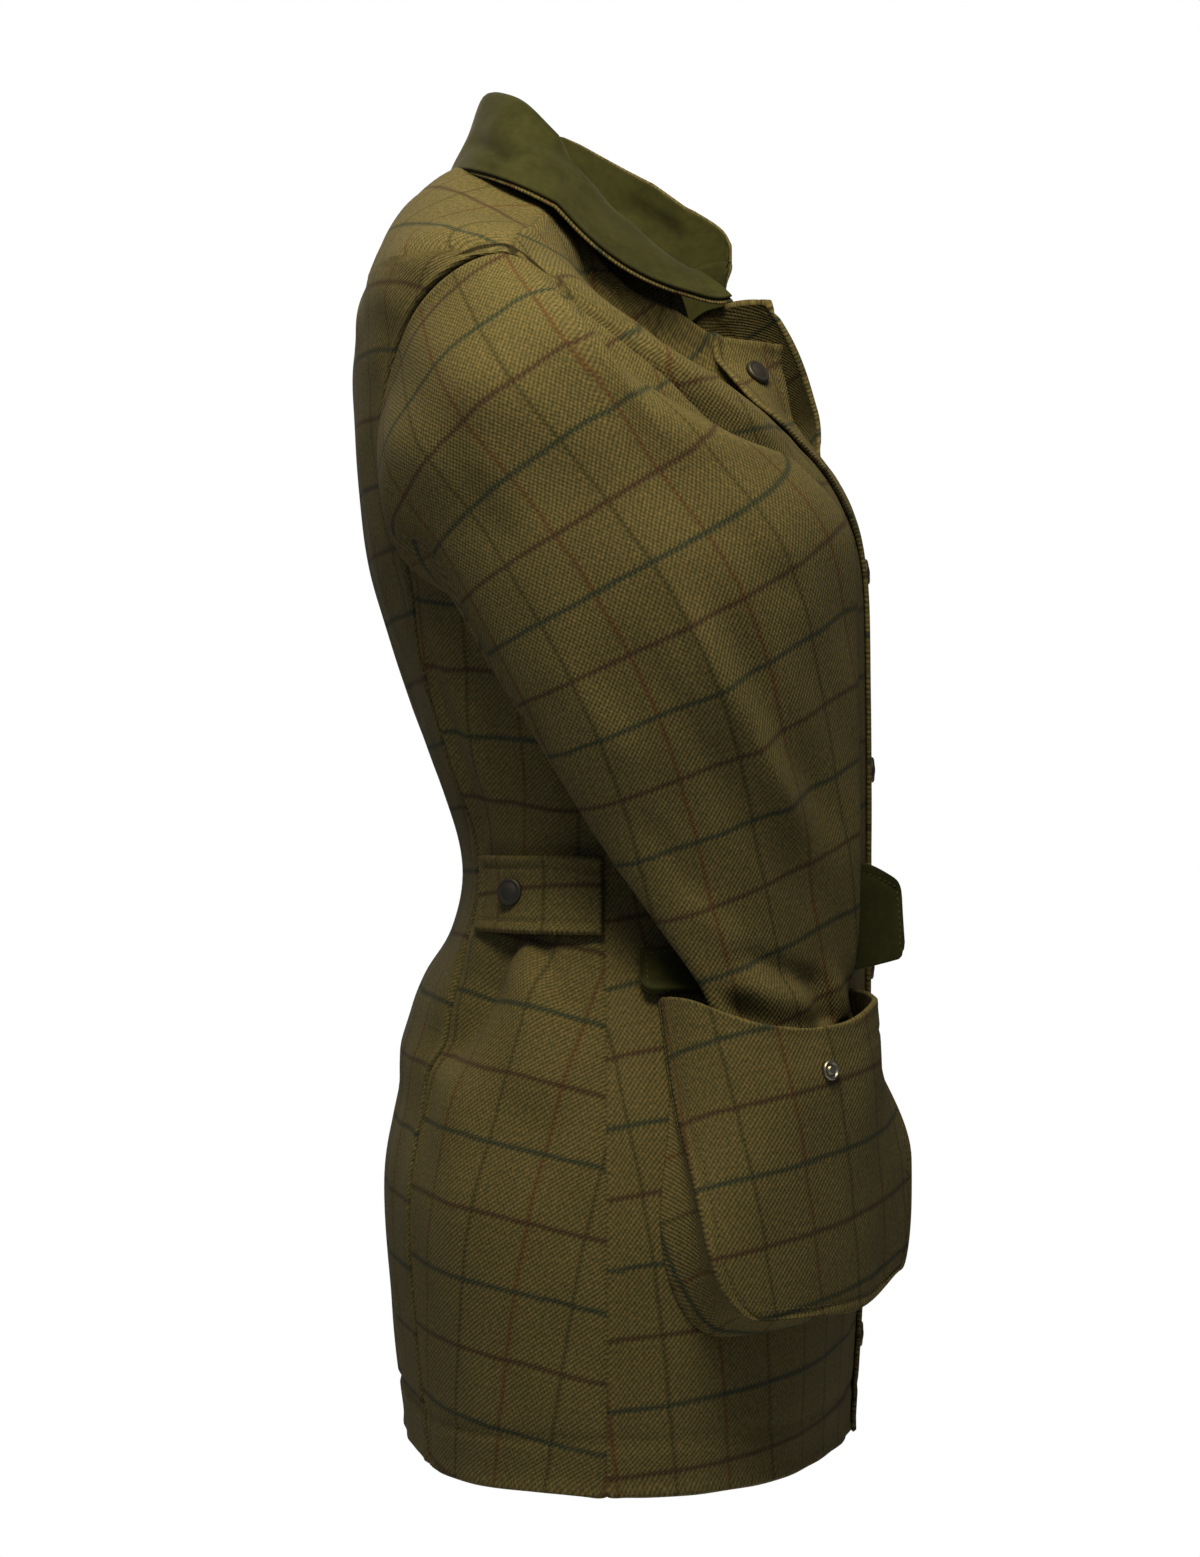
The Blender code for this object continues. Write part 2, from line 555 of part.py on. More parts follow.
# Pocket flaps, turned up above the mouth with the front end standing off
flap_place = np.linspace(0, len(FLAP) - 1, FLAP_GRID[1])[None, :]
flap_lines = dict(zip(FLAP_COLUMNS, np.moveaxis(spline_rows(FLAP, flap_place), -1, 0)))
flap_up = np.linspace(1, 0, FLAP_GRID[0])[:, None]
flap_z = flap_lines["root_z"] + (flap_lines["top_z"] - flap_lines["root_z"]) * flap_up
flap_angle = flap_lines["angle"] + 0 * flap_z
flap_height = LAID_ON + FACET_ROOM + np.maximum(flap_lines["stand_off"], 0)
flap_level = level_at(flap_angle, flap_z)
flap = front(flap_angle, flap_level, flap_height)
flap_lining = front(flap_angle, flap_level, flap_height + WALL + 2 * SEAM)

# Waist tabs, sewn into the side seams
tab_across = np.linspace(TAB_TIP_ANGLE, TAB_ROOT_ANGLE, TAB_GRID[1])[None, :]
tab_z = np.linspace(TAB_TOP_Z, TAB_BOTTOM_Z, TAB_GRID[0])[:, None] + 0 * tab_across
tab_level = level_at(tab_across + 0 * tab_z, tab_z)
tab = body(tab_across + 0 * tab_z, tab_level, LAID_ON + TAB_ROOM)

for name, grid, thickness, side, colour in (
        ("pocket_face", pocket_face, WALL, 1, TWEED),
        ("pocket_gusset", pocket_gusset, THIN_WALL, 1, TWEED),
        ("pocket_flap", flap, WALL, 1, TWEED),
        ("pocket_flap_lining", flap_lining, THIN_WALL, 1, MOLESKIN),
        ("waist_tab", tab, TAB_THICK, 1, TWEED)):
    cloth(name + "_R", grid, thickness, side, colour)
    cloth(name + "_L", mirrored(grid), thickness, side, colour)

# Press studs on the placket, the left front's neck corner, the tabs and the pocket faces
flip = np.array((-1.0, 1.0, 1.0))


def stud_on_front(z, from_edge, out, right=True):
    """Place and direction of a stud a few degrees back from a front's edge."""
    level = np.array(5.0)
    for _ in range(8):
        angle = front_edge_angle(level) - from_edge
        level = level_at(angle, z)
    down = front(angle, level + 0.1, out, right) - front(angle, level - 0.1, out, right)
    around = front(angle + 1, level, out, right) - front(angle - 1, level, out, right)
    normal = np.cross(down, around)
    return front(angle, level, out, right), normal / np.linalg.norm(normal)


for number, stud_z in enumerate(PLACKET_STUDS_Z):
    stud_room = NECK_STUD_ROOM if number == 0 else SEAM
    place, normal = stud_on_front(stud_z, PLACKET_SPAN / 2, LAID_ON + WALL + stud_room)
    stud("placket_stud_%d" % (number + 1), place, normal, CAP_RADIUS, CAP_HEIGHT, BLACK_METAL, 0.8)
place, normal = stud_on_front(PLACKET_STUDS_Z[0], PLACKET_SPAN / 2, WALL + NECK_STUD_ROOM, right=False)
stud("neck_stud_L", place * flip, normal * flip, RING_RADIUS, RING_HEIGHT, BLACK_METAL, 0.8)
tab_stud_angle, tab_stud_level = side_place(TAB_STUD_Y, TAB_STUD_Z)
tab_place = body(tab_stud_angle, tab_stud_level, LAID_ON + TAB_ROOM + TAB_THICK + 2 * SEAM)
tab_normal = outward(tab_stud_angle, tab_stud_level)
face_cell = pocket_face[FACE_STUD_ROW:FACE_STUD_ROW + 2, FACE_STUD_COLUMN:FACE_STUD_COLUMN + 2]
face_normal = np.cross(face_cell[1, 0] - face_cell[0, 1], face_cell[1, 1] - face_cell[0, 0])
face_normal /= np.linalg.norm(face_normal)
face_place = face_cell.mean(axis=(0, 1)) + face_normal * (WALL + 2 * SEAM)
for side_name, turn_over in (("R", np.ones(3)), ("L", flip)):
    stud("tab_stud_" + side_name, tab_place * turn_over, tab_normal * turn_over,
         CAP_RADIUS, CAP_HEIGHT, BLACK_METAL, 0.8)
    stud("pocket_stud_" + side_name, face_place * turn_over, face_normal * turn_over,
         RING_RADIUS, RING_HEIGHT, STEEL, 1.0)
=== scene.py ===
import math
import bpy
import numpy as np
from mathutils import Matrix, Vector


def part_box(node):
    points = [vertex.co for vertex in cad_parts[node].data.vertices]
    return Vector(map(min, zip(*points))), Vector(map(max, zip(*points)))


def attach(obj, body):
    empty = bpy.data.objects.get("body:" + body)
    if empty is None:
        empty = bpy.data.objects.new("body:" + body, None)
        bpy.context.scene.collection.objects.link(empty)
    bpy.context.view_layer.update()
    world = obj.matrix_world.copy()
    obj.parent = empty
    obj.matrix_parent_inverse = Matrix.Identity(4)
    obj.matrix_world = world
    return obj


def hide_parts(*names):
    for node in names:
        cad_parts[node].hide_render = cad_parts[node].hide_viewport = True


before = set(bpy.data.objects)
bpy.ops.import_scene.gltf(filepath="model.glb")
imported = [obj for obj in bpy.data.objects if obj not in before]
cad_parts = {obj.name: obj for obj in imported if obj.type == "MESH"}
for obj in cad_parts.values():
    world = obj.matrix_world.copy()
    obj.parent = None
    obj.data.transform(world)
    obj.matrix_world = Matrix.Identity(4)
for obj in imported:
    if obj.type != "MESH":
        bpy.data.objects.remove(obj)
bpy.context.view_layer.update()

# Back panel: one length of woven wool tweed from the nape and both shoulder seams to the hem, between
# the two princess seams.  Its turned hem is felled, and every seam is pressed into a soft valley.
# Lengths in the tables are millimetres.
MM = 0.001
WALL = 2.2
SEAM = 0.3
LAID_ON = WALL + 2 * SEAM
RING_COLUMNS = ("half_width", "centre_y", "front_y", "back_y", "side_z", "front_z", "back_z", "square",
                "front_drop", "princess_angle")
RINGS = (
    (74, 24, -92, 58, -6, -92, 27, 2.0, 2.6, 50),
    (132, 36, -104, 103, -32, -118, -5, 2.1, 2.0, 50),
    (190, 46, -116, 133, -58, -146, -50, 2.3, 1.2, 50),
    (182, 20, -135, 141, -130, -172, -110, 2.5, 1.2, 50),
    (177, 0, -147, 133, -208, -212, -205, 2.5, 1, 48),
    (164, 0, -150, 108, -290, -290, -290, 2.4, 1, 51),
    (150, 0, -151, 78, -389, -389, -389, 2.3, 1, 55),
    (176, 0, -150, 103, -470, -470, -470, 2.3, 1, 52),
    (198, 0, -149, 122, -560, -560, -560, 2.3, 1, 50),
    (204, 0, -145, 118, -640, -640, -640, 2.2, 1, 51),
    (205, 0, -141, 110, -711, -711, -711, 2.1, 1, 53),
)
NECK, SHOULDER, BUST, HEM = 0, 2, 4, 10
SHOULDER_SEAM_ANGLE, SIDE_SEAM_ANGLE = 90.0, 91.0
ARMHOLE = (
    (113, -190), (118, -140), (95, -80), (50, -58), (12, -92), (-32, -130),
    (-62, -165), (-52, -203), (-20, -226), (25, -234), (70, -228), (102, -210),
)
FOLD_COLUMNS = ("start_y", "start_z", "end_y", "end_z", "height", "width")
BODY_FOLDS = (
    (106, -225, 52, -370, 5, 15),
    (80, -235, 30, -365, -4, 14),
    (56, -430, 92, -500, -7, 15),
    (30, -425, 40, -520, 5, 16),
    (96, -420, 116, -520, 5, 15),
)
# Smaller creases: pulled towards the waist tab from above and below, and under the armhole
BODY_CREASES = (
    (104, -232, 56, -372, -5.0, 6),
    (62, -374, 88, -322, -3.0, 6),
    (44, -374, 58, -310, -3.2, 6),
    (22, -374, 24, -316, 2.4, 8),
    (28, -386, 88, -498, -7.0, 6),
    (54, -398, 102, -492, 2.6, 7),
    (38, -404, 14, -470, -3.6, 6),
    (12, -416, 2, -486, -1.6, 7),
    (84, -436, 104, -560, -2.4, 9),
    (66, -470, 78, -640, 1.6, 13),
    (30, -500, 26, -690, -1.6, 14),
    (98, -236, 112, -330, -1.6, 9),
    (60, -246, 44, -330, 1.4, 9),
)


def spline_rows(table, places, closed=False):
    """Rows of a table at any place between them, on a smooth curve through every row."""
    rows = np.asarray(table, dtype=float)
    places = np.asarray(places, dtype=float)
    count = len(rows)
    first = np.floor(places).astype(int)
    if not closed:
        first = np.clip(first, 0, count - 2)
    part = (places - first)[..., None]

    def row(index):
        if closed:
            return rows[index % count]
        return rows[np.clip(index, 0, count - 1)]

    before, start, end, after = row(first - 1), row(first), row(first + 1), row(first + 2)
    leave, arrive = (end - before) / 2, (after - start) / 2
    return (start + leave * part + (3 * (end - start) - 2 * leave - arrive) * part ** 2
            + (2 * (start - end) + leave + arrive) * part ** 3)


def smooth_grid(lines, places):
    """Grid of points on smooth curves through a stack of lines, at any place between the lines."""
    lines = np.stack(lines)
    rows = spline_rows(lines.reshape(len(lines), -1), places)
    return rows.reshape(len(places), -1, lines.shape[-1])


def unit(vectors):
    """The same directions, with length 1."""
    return vectors / np.linalg.norm(vectors, axis=-1, keepdims=True)


def ease(low, high, value):
    """0 below low, 1 above high, smooth between."""
    part = np.clip((np.asarray(value, dtype=float) - low) / (high - low), 0, 1)
    return part * part * (3 - 2 * part)


def between(first, second, share):
    """Value at a share of the way from one to another."""
    return first + (second - first) * share


def spread(*values):
    """Numbers or arrays as arrays of one shape."""
    return np.broadcast_arrays(*[np.asarray(value, dtype=float) for value in values])


def torso(angle, level):
    """Point of the body at a polar angle (0 is centre back, positive to the right) on a ring."""
    angle, level = spread(angle, level)
    ring = dict(zip(RING_COLUMNS, np.moveaxis(spline_rows(RINGS, level), -1, 0)))
    turn = np.radians(angle)
    back_to_front, sideways = np.cos(turn), np.sin(turn)
    behind = back_to_front > 0
    depth = np.where(behind, ring["back_y"] - ring["centre_y"], ring["centre_y"] - ring["front_y"])
    square = ring["square"]
    reach = ((np.abs(back_to_front) / depth) ** square
             + (np.abs(sideways) / ring["half_width"]) ** square) ** (-1 / square)
    share = np.abs(reach * back_to_front / depth)
    drop = 1 - (1 - np.clip(share, 0, 1)) ** ring["front_drop"]
    rise = np.where(behind, (ring["back_z"] - ring["side_z"]) * share,
                    (ring["front_z"] - ring["side_z"]) * drop)
    return np.stack((-reach * sideways, ring["centre_y"] + reach * back_to_front,
                     ring["side_z"] + rise), axis=-1)


def outward(angle, level):
    """Unit vector out of the body."""
    step = 0.02
    along = torso(angle, np.clip(level + step, NECK, HEM)) - torso(angle, np.clip(level - step, NECK, HEM))
    around = torso(angle + 0.5, level) - torso(angle - 0.5, level)
    return unit(np.cross(along, around))


def swell(distance, width, centre=0.0):
    """Height of a rounded ridge 1 high, at a distance measured across it."""
    return np.exp(-((distance - centre) / width) ** 2)


def fold_height(folds, y, z):
    """Height of the listed folds at side-view places."""
    height = np.zeros(np.broadcast(y, z).shape)
    for row in folds:
        fold = dict(zip(FOLD_COLUMNS, row))
        run_y, run_z = fold["end_y"] - fold["start_y"], fold["end_z"] - fold["start_z"]
        length = np.hypot(run_y, run_z)
        past_y, past_z = y - fold["start_y"], z - fold["start_z"]
        along = (past_y * run_y + past_z * run_z) / length
        aside = (past_y * run_z - past_z * run_y) / length
        fade = ease(0, 0.3 * length, along) * (1 - ease(0.7 * length, length, along))
        height = height + fold["height"] * fade * swell(aside, fold["width"])
    return height


def body(angle, level, out=0.0):
    """Point of the body cloth, with its largest folds, moved out."""
    angle, level = spread(angle, level)
    point = torso(angle, level)
    behind = np.abs(angle) < SIDE_SEAM_ANGLE + 10
    lift = np.where(behind, fold_height(BODY_FOLDS, point[..., 1], point[..., 2]), 0) + out
    return point + outward(angle, level) * lift[..., None]


def crossing(low, high, shape, before):
    """Values between low and high where a rule stops being true, found by halving."""
    low, high = np.full(shape, low), np.full(shape, high)
    for _ in range(26):
        middle = (low + high) / 2
        true = before(middle)
        low, high = np.where(true, middle, low), np.where(true, high, middle)
    return (low + high) / 2


def level_at(angle, z):
    """Ring level where a line down the body at this angle passes a height."""
    shape = np.broadcast(angle, z).shape
    return crossing(0.0, float(HEM), shape, lambda level: torso(angle, level)[..., 2] > z)


def side_place(y, z):
    """Angle and level of the place on the right side that a side view shows at y, z."""
    y, z = spread(y, z)
    angle = crossing(2.0, 178.0, y.shape, lambda angle: torso(angle, level_at(angle, z))[..., 1] > y)
    return angle, level_at(angle, z)


def shares(length, step, fine=0.9, border=9.0):
    """Places from 0 to 1 along a line, close together near both ends where seams and edges are pressed."""
    near = np.arange(0, border, fine)
    middle = np.linspace(border, length - border, max(2, int((length - 2 * border) / step)))
    return np.concatenate((near, middle, length - near[::-1])) / length


def runs(grid, axis):
    """Distance along every line of a grid of points, from the line's start."""
    steps = np.linalg.norm(np.diff(grid, axis=axis), axis=-1)
    start = np.zeros_like(np.take(steps, [0], axis=axis))
    return np.concatenate((start, np.cumsum(steps, axis=axis)), axis=axis)


def pressed(distance):
    """A seam: the cloth dips where it turns in, and swells beside it over the turnings."""
    return -2.1 * swell(distance, 1.7) + 0.8 * swell(distance, 2.8, 5.5)


def giving_way(relief):
    """How far the inner face of a wall moves in where its outer face dips by more than part of it."""
    return np.minimum(relief + 1.4, 0)


def painted_seam_shade(distance):
    """Painted shade: how much the cloth's colour is darkened where it turns down into a seam and shade falls.
    """
    return 0.85 * swell(distance, 1.3)


def turned_edge(distance, stitch=6.0):
    """A turned and topstitched edge: a swell at the edge and a trough along the stitches."""
    return 0.6 * swell(distance, 3.5) - 0.75 * swell(distance, 1.3, stitch)


def ripple(across, down, seed, height=0.5):
    """Soft uneven relief of worn wool cloth, from a few long waves that cross each other."""
    waves = np.random.default_rng(seed)
    relief = np.zeros(np.broadcast(across, down).shape)
    for _ in range(9):
        turn, length, start = waves.uniform(0, math.pi), waves.uniform(24, 95), waves.uniform(0, 2 * math.pi)
        travel = across * math.cos(turn) + 0.45 * down * math.sin(turn)
        relief = relief + np.sin(2 * math.pi * travel / length + start + 0.8 * np.sin(down / 61 + start))
    return relief * height / 3


def made(name, points, faces, material, slot, node=None):
    """A smooth piece of one material, from groups of points; with a node it stands for that solid."""
    mesh = bpy.data.meshes.new(name)
    mesh.from_pydata((np.concatenate(points) * MM).tolist(), [], faces)
    mesh.shade_smooth()
    mesh.materials.append(material)
    piece = bpy.data.objects.new(name, mesh)
    bpy.context.scene.collection.objects.link(piece)
    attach(piece, "root")
    if node:
        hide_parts(node)
    return piece


def quads(number):
    """Corner numbers of every cell of a numbered grid."""
    corners = (number[:-1, :-1], number[1:, :-1], number[1:, 1:], number[:-1, 1:])
    return np.stack(corners, axis=-1).reshape(-1, 4)


def cloth(name, node, slot, outer, inner, weave, closed=False, painted_shade=None):
    """A wall of cloth between an outer and an inner grid, with rounded edges, weave coordinates and painted
    seam shade.
    """
    rows, columns = outer.shape[:2]
    total = rows * columns
    number = np.arange(total).reshape(rows, columns)
    if closed:
        number = np.concatenate((number, number[:, :1]), axis=1)
    weave_number = np.arange(weave[0].size).reshape(weave[0].shape)
    face, corner = quads(number), quads(weave_number)

    def borders(grid):
        if closed:
            return grid[0], grid[-1, ::-1]
        return [np.concatenate((grid[0], grid[1:, -1], grid[-1, -2::-1], grid[-2::-1, 0]))]

    leave = np.zeros_like(outer)
    leave[0] += outer[0] - outer[1]
    leave[-1] += outer[-1] - outer[-2]
    if not closed:
        leave[:, 0] += outer[:, 0] - outer[:, 1]
        leave[:, -1] += outer[:, -1] - outer[:, -2]
    leave = leave.reshape(-1, 3)
    leave /= np.maximum(np.linalg.norm(leave, axis=1, keepdims=True), 1e-9)
    flat_outer, flat_inner = outer.reshape(-1, 3), inner.reshape(-1, 3)
    thickness = np.linalg.norm(flat_outer - flat_inner, axis=1, keepdims=True)
    middle = (flat_outer + flat_inner) / 2 + leave * thickness * 0.45
    points = [flat_outer, flat_inner]
    faces, corners = [face, face[:, ::-1] + total], [corner, corner[:, ::-1]]
    used = 2 * total
    for loop, weave_loop in zip(borders(number), borders(weave_number)):
        here, there = loop[:-1], loop[1:]
        weave_here, weave_there = weave_loop[:-1], weave_loop[1:]
        rim = used + np.arange(len(loop) - 1)
        rim_next = np.roll(rim, -1)
        points.append(middle[here])
        faces += [np.stack((here, there, rim_next, rim), axis=1),
                  np.stack((rim, rim_next, there + total, here + total), axis=1)]
        corners += [np.stack((weave_here, weave_there, weave_there, weave_here), axis=1)] * 2
        used += len(here)
    piece = made(name, points, np.concatenate(faces).tolist(), cloths[slot], slot, node)
    weave = np.stack([axis.ravel() for axis in weave], axis=1) * MM
    weave = weave[np.concatenate(corners).ravel()]
    piece.data.uv_layers.new(name="weave").data.foreach_set("uv", weave.ravel())
    # Painted shade along the seams, kept on the points for the material to darken the colour with.
    if painted_shade is not None:
        dark = np.zeros(used)
        dark[:total] = np.broadcast_to(painted_shade, (rows, columns)).ravel()
        piece.data.attributes.new("painted_shade", "FLOAT", "POINT").data.foreach_set("value", dark)
    return piece


def turned_to(flat, way):
    """Flat points turned so that a direction among them points down the cloth."""
    way = way / np.linalg.norm(way)
    return np.stack((flat[..., 0] * way[0] + flat[..., 1] * way[1],
                     flat[..., 1] * way[0] - flat[..., 0] * way[1]), axis=-1)


def flat_pattern(grid, anchor, towards, across=0.0, up=0.0, turn=0.0):
    """Weave coordinates of a piece laid flat with as little stretch as can be: across and up the cloth.

    The anchor and the place towards which the warp runs down from it are rows and columns of the grid.
    """
    lengths = (runs(grid, 0).mean(axis=1), runs(grid, 1).mean(axis=0))
    picks = [np.unique(np.searchsorted(length, np.linspace(0, length[-1], min(len(length), 24)) - 1e-6))
             for length in lengths]
    points = grid[np.ix_(*picks)]
    number = np.arange(points[..., 0].size).reshape(points.shape[:2])
    triangle = np.concatenate([quads(number)[:, places]
                               for places in ((0, 1, 2), (0, 2, 3), (0, 1, 3), (1, 2, 3))])
    place = points.reshape(-1, 3)[triangle]
    first, second = place[:, 1] - place[:, 0], place[:, 2] - place[:, 0]
    base = np.linalg.norm(first, axis=1)
    lean = np.einsum("ij,ij->i", first, second) / base
    height = np.sqrt(np.maximum(np.einsum("ij,ij->i", second, second) - lean ** 2, 1e-6))
    zero = np.zeros_like(base)
    local = np.stack((np.stack((zero, zero), axis=1), np.stack((base, zero), axis=1),
                      np.stack((lean, height), axis=1)), axis=1)
    edges = np.array(((0, 1), (1, 2), (2, 0)))
    starts, ends = triangle[:, edges[:, 0]], triangle[:, edges[:, 1]]
    span = local[:, edges[:, 1]] - local[:, edges[:, 0]]
    total = number.size
    stiffness = np.zeros((total, total))
    np.add.at(stiffness, (starts, starts), 1.0)
    np.add.at(stiffness, (ends, ends), 1.0)
    np.add.at(stiffness, (starts, ends), -1.0)
    np.add.at(stiffness, (ends, starts), -1.0)
    answer = np.linalg.inv(stiffness[1:, 1:])
    flat = np.stack((runs(points, 0), runs(points, 1)), axis=-1).reshape(-1, 2)
    for _ in range(60):
        now = flat[ends] - flat[starts]
        turned = np.arctan2((span[..., 0] * now[..., 1] - span[..., 1] * now[..., 0]).sum(axis=1),
                            (span * now).sum(axis=(1, 2)))[:, None]
        wish = np.stack((span[..., 0] * np.cos(turned) - span[..., 1] * np.sin(turned),
                         span[..., 0] * np.sin(turned) + span[..., 1] * np.cos(turned)), axis=-1)
        pull = np.zeros((total, 2))
        np.add.at(pull, ends, wish)
        np.add.at(pull, starts, -wish)
        flat = np.concatenate((np.zeros((1, 2)), answer @ pull[1:]))
    steps = [np.interp(length, length[pick], np.arange(len(pick))) for length, pick in zip(lengths, picks)]
    flat = smooth_grid(flat.reshape(len(picks[0]), -1, 2), steps[0])
    flat = smooth_grid(flat.transpose(1, 0, 2), steps[1]).transpose(1, 0, 2)
    flat = turned_to(flat - flat[anchor], flat[towards] - flat[anchor])
    flat = turned_to(flat, np.array((math.cos(math.radians(turn)), math.sin(math.radians(turn)))))
    return flat[..., 1] + across, up - flat[..., 0]


class Shader:
    """Builds a material's nodes, one calculation at a time."""

    def __init__(self, name):
        self.material = bpy.data.materials.new(name)
        self.material.use_nodes = True
        self.tree = self.material.node_tree
        self.surface = self.tree.nodes["Principled BSDF"]

    def node(self, kind, inputs, **settings):
        made = self.tree.nodes.new(kind)
        for key, value in settings.items():
            setattr(made, key, value)
        for key, value in inputs.items():
            if isinstance(value, bpy.types.NodeSocket):
                self.tree.links.new(value, made.inputs[key])
            else:
                made.inputs[key].default_value = value
        return made

    def calc(self, operation, first, second=0.0, clamp=False):
        made = self.node("ShaderNodeMath", {0: first, 1: second}, operation=operation, use_clamp=clamp)
        return made.outputs[0]

    def scaled(self, value, factor, shift):
        return self.calc("ADD", self.calc("MULTIPLY", value, factor), shift)

    def mix(self, share, first, second):
        made = self.node("ShaderNodeMix", {0: share, 6: first, 7: second}, data_type="RGBA")
        return made.outputs[2]

    def noise(self, place, scale, detail=2.0, roughness=0.5):
        made = self.node("ShaderNodeTexNoise", {"Vector": place, "Scale": scale, "Detail": detail,
                                                "Roughness": roughness})
        return made.outputs["Fac"]

    def feed(self, socket, value):
        self.tree.links.new(value, self.surface.inputs[socket])


CHECK_WIDTH, CHECK_HEIGHT = 64.0, 74.0


def tweed_material():
    """Olive and ochre twill with an overcheck: teal and maroon across, rust and dark olive down."""
    shade = Shader("tweed")
    weave = shade.node("ShaderNodeUVMap", {}, uv_map="weave").outputs[0]
    split = shade.node("ShaderNodeSeparateXYZ", {0: weave})
    wander = shade.calc("MULTIPLY", shade.calc("SUBTRACT", shade.noise(weave, 30.0), 0.5), 2.4)
    across, down = [shade.scaled(split.outputs[axis], 1000.0, wander) for axis in range(2)]

    def wave(distance, length):
        turn = shade.calc("MULTIPLY", distance, 2 * math.pi / length)
        return shade.scaled(shade.calc("SINE", turn), 0.5, 0.5)

    wale = wave(shade.calc("SUBTRACT", across, down), 2.9)
    float_yarn = wave(shade.scaled(down, 0.6, across), 2.3)
    yarn = shade.scaled(wale, 0.68, shade.calc("MULTIPLY", float_yarn, 0.32))
    fibre = shade.noise(weave, 900.0, 4.0, 0.7)
    mottle = shade.noise(weave, 420.0, 2.0)
    cloud = shade.noise(weave, 26.0, 2.0)
    dark, gold, green = (0.019, 0.018, 0.009, 1), (0.188, 0.147, 0.064, 1), (0.098, 0.094, 0.044, 1)
    light = shade.mix(shade.calc("MULTIPLY", shade.calc("SUBTRACT", mottle, 0.33), 2.6, True), green, gold)
    tone = shade.scaled(yarn, 0.52, shade.calc("MULTIPLY", fibre, 1.15))
    colour = shade.mix(shade.calc("SUBTRACT", tone, 0.33, True), dark, light)

    def stripe(distance, repeat, start, width):
        turn = shade.calc("FRACT", shade.calc("ADD", shade.calc("DIVIDE", distance, repeat), start))
        gap = shade.calc("MULTIPLY", shade.calc("ABSOLUTE", shade.calc("SUBTRACT", turn, 0.5)), repeat)
        return shade.calc("SUBTRACT", width / 2 + 0.5, gap, True)

    broken, whole = shade.scaled(wale, 0.8, 0.1), shade.scaled(wale, 0.55, 0.40)
    slant = shade.calc("MULTIPLY", shade.calc("SUBTRACT", wale, 0.5), 1.6)
    across, down = shade.calc("ADD", across, slant), shade.calc("ADD", down, slant)
    for distance, repeat, start, width, hold, ink in (
            (across, CHECK_WIDTH, 0.0, 2.0, broken, (0.060, 0.018, 0.008, 1)),
            (across, CHECK_WIDTH, 0.5, 2.0, broken, (0.020, 0.021, 0.009, 1)),
            (down, CHECK_HEIGHT, 0.0, 2.8, whole, (0.009, 0.021, 0.020, 1)),
            (down, CHECK_HEIGHT, 0.5, 2.6, whole, (0.030, 0.014, 0.013, 1))):
        colour = shade.mix(shade.calc("MULTIPLY", stripe(distance, repeat, start, width), hold), colour, ink)
    # Painted shade: the colour goes to near black along the seams, where shade falls in the turn of the
    # cloth.
    painted_shade = shade.node("ShaderNodeAttribute", {}, attribute_name="painted_shade").outputs["Fac"]
    colour = shade.mix(painted_shade, colour, (0.006, 0.006, 0.003, 1))
    worn = shade.scaled(cloud, 0.34, 0.83)
    shade.feed("Base Color", shade.node("ShaderNodeVectorMath", {0: colour, 1: worn},
                                        operation="MULTIPLY").outputs[0])
    nap = shade.scaled(fibre, 0.5, yarn)
    bump = shade.node("ShaderNodeBump", {"Strength": 0.55, "Distance": 0.0006, "Height": nap})
    shade.feed("Normal", bump.outputs[0])
    shade.surface.inputs["Roughness"].default_value = 0.93
    shade.surface.inputs["Specular IOR Level"].default_value = 0.10
    shade.surface.inputs["Sheen Weight"].default_value = 0.02
    shade.surface.inputs["Sheen Roughness"].default_value = 0.55
    return shade.material


cloths = {"tweed": tweed_material()}

seam_turns = np.arange(0, 360, 2.0)
seam_side_view = spline_rows(ARMHOLE, seam_turns / 30, closed=True)
seam_angles, seam_levels = side_place(seam_side_view[:, 0], seam_side_view[:, 1])
shoulder_point = int(np.argmin(np.abs(seam_turns - 90)))
lower_arc = np.arange(len(seam_turns))[seam_turns >= 200]
side_meets = int(lower_arc[np.argmax(seam_angles[lower_arc] < SIDE_SEAM_ANGLE)])
late_arc = np.arange(len(seam_turns))[seam_turns >= 290]
princess_meets = int(late_arc[np.argmax(seam_levels[late_arc] < BUST)])
underarm_level = seam_levels[side_meets]
front_arc = np.arange(shoulder_point, side_meets + 1)
back_arc = np.concatenate((np.arange(shoulder_point, -1, -1),
                           np.arange(len(seam_turns) - 1, princess_meets - 1, -1)))


def princess_angle(level):
    """Angle of the seam between the back and the side back, which runs down from the armhole."""
    table = np.array([row[-1] for row in RINGS], dtype=float)[:, None]
    table[BUST] = seam_angles[princess_meets]
    return spline_rows(table, level)[..., 0]


def panel_limit(level, arc, low_level, low_angle):
    """Angle of a panel's edge: shoulder seam, an arc of the armhole, then the seam below it."""
    on_armhole = np.interp(level, seam_levels[arc], seam_angles[arc])
    above = np.where(level <= SHOULDER, SHOULDER_SEAM_ANGLE, on_armhole)
    return np.where(level >= low_level, low_angle, above)


def panel_levels(length, step, armhole_end):
    """Levels of a panel's lines down its length, with lines on the shoulder and where its armhole ends."""
    lines = between(NECK, HEM, shares(length, step))
    return np.unique(np.concatenate((lines, (SHOULDER, armhole_end))))[:, None]


def creased(angle, level):
    """Height of the smaller creases and of the soft flutes that hang down the skirt."""
    point = torso(angle, level)
    side = fold_height(BODY_CREASES, point[..., 1], point[..., 2]) * ease(8, 30, np.abs(angle))
    flutes = np.sin(np.radians(angle) * 7 + 0.6) + 0.6 * np.sin(np.radians(angle) * 11 + 2.0)
    hang = ease(6.3, 8.5, level) * 1.1 + 0.35
    return side + flutes * hang


HEM_DEPTH = 28.0


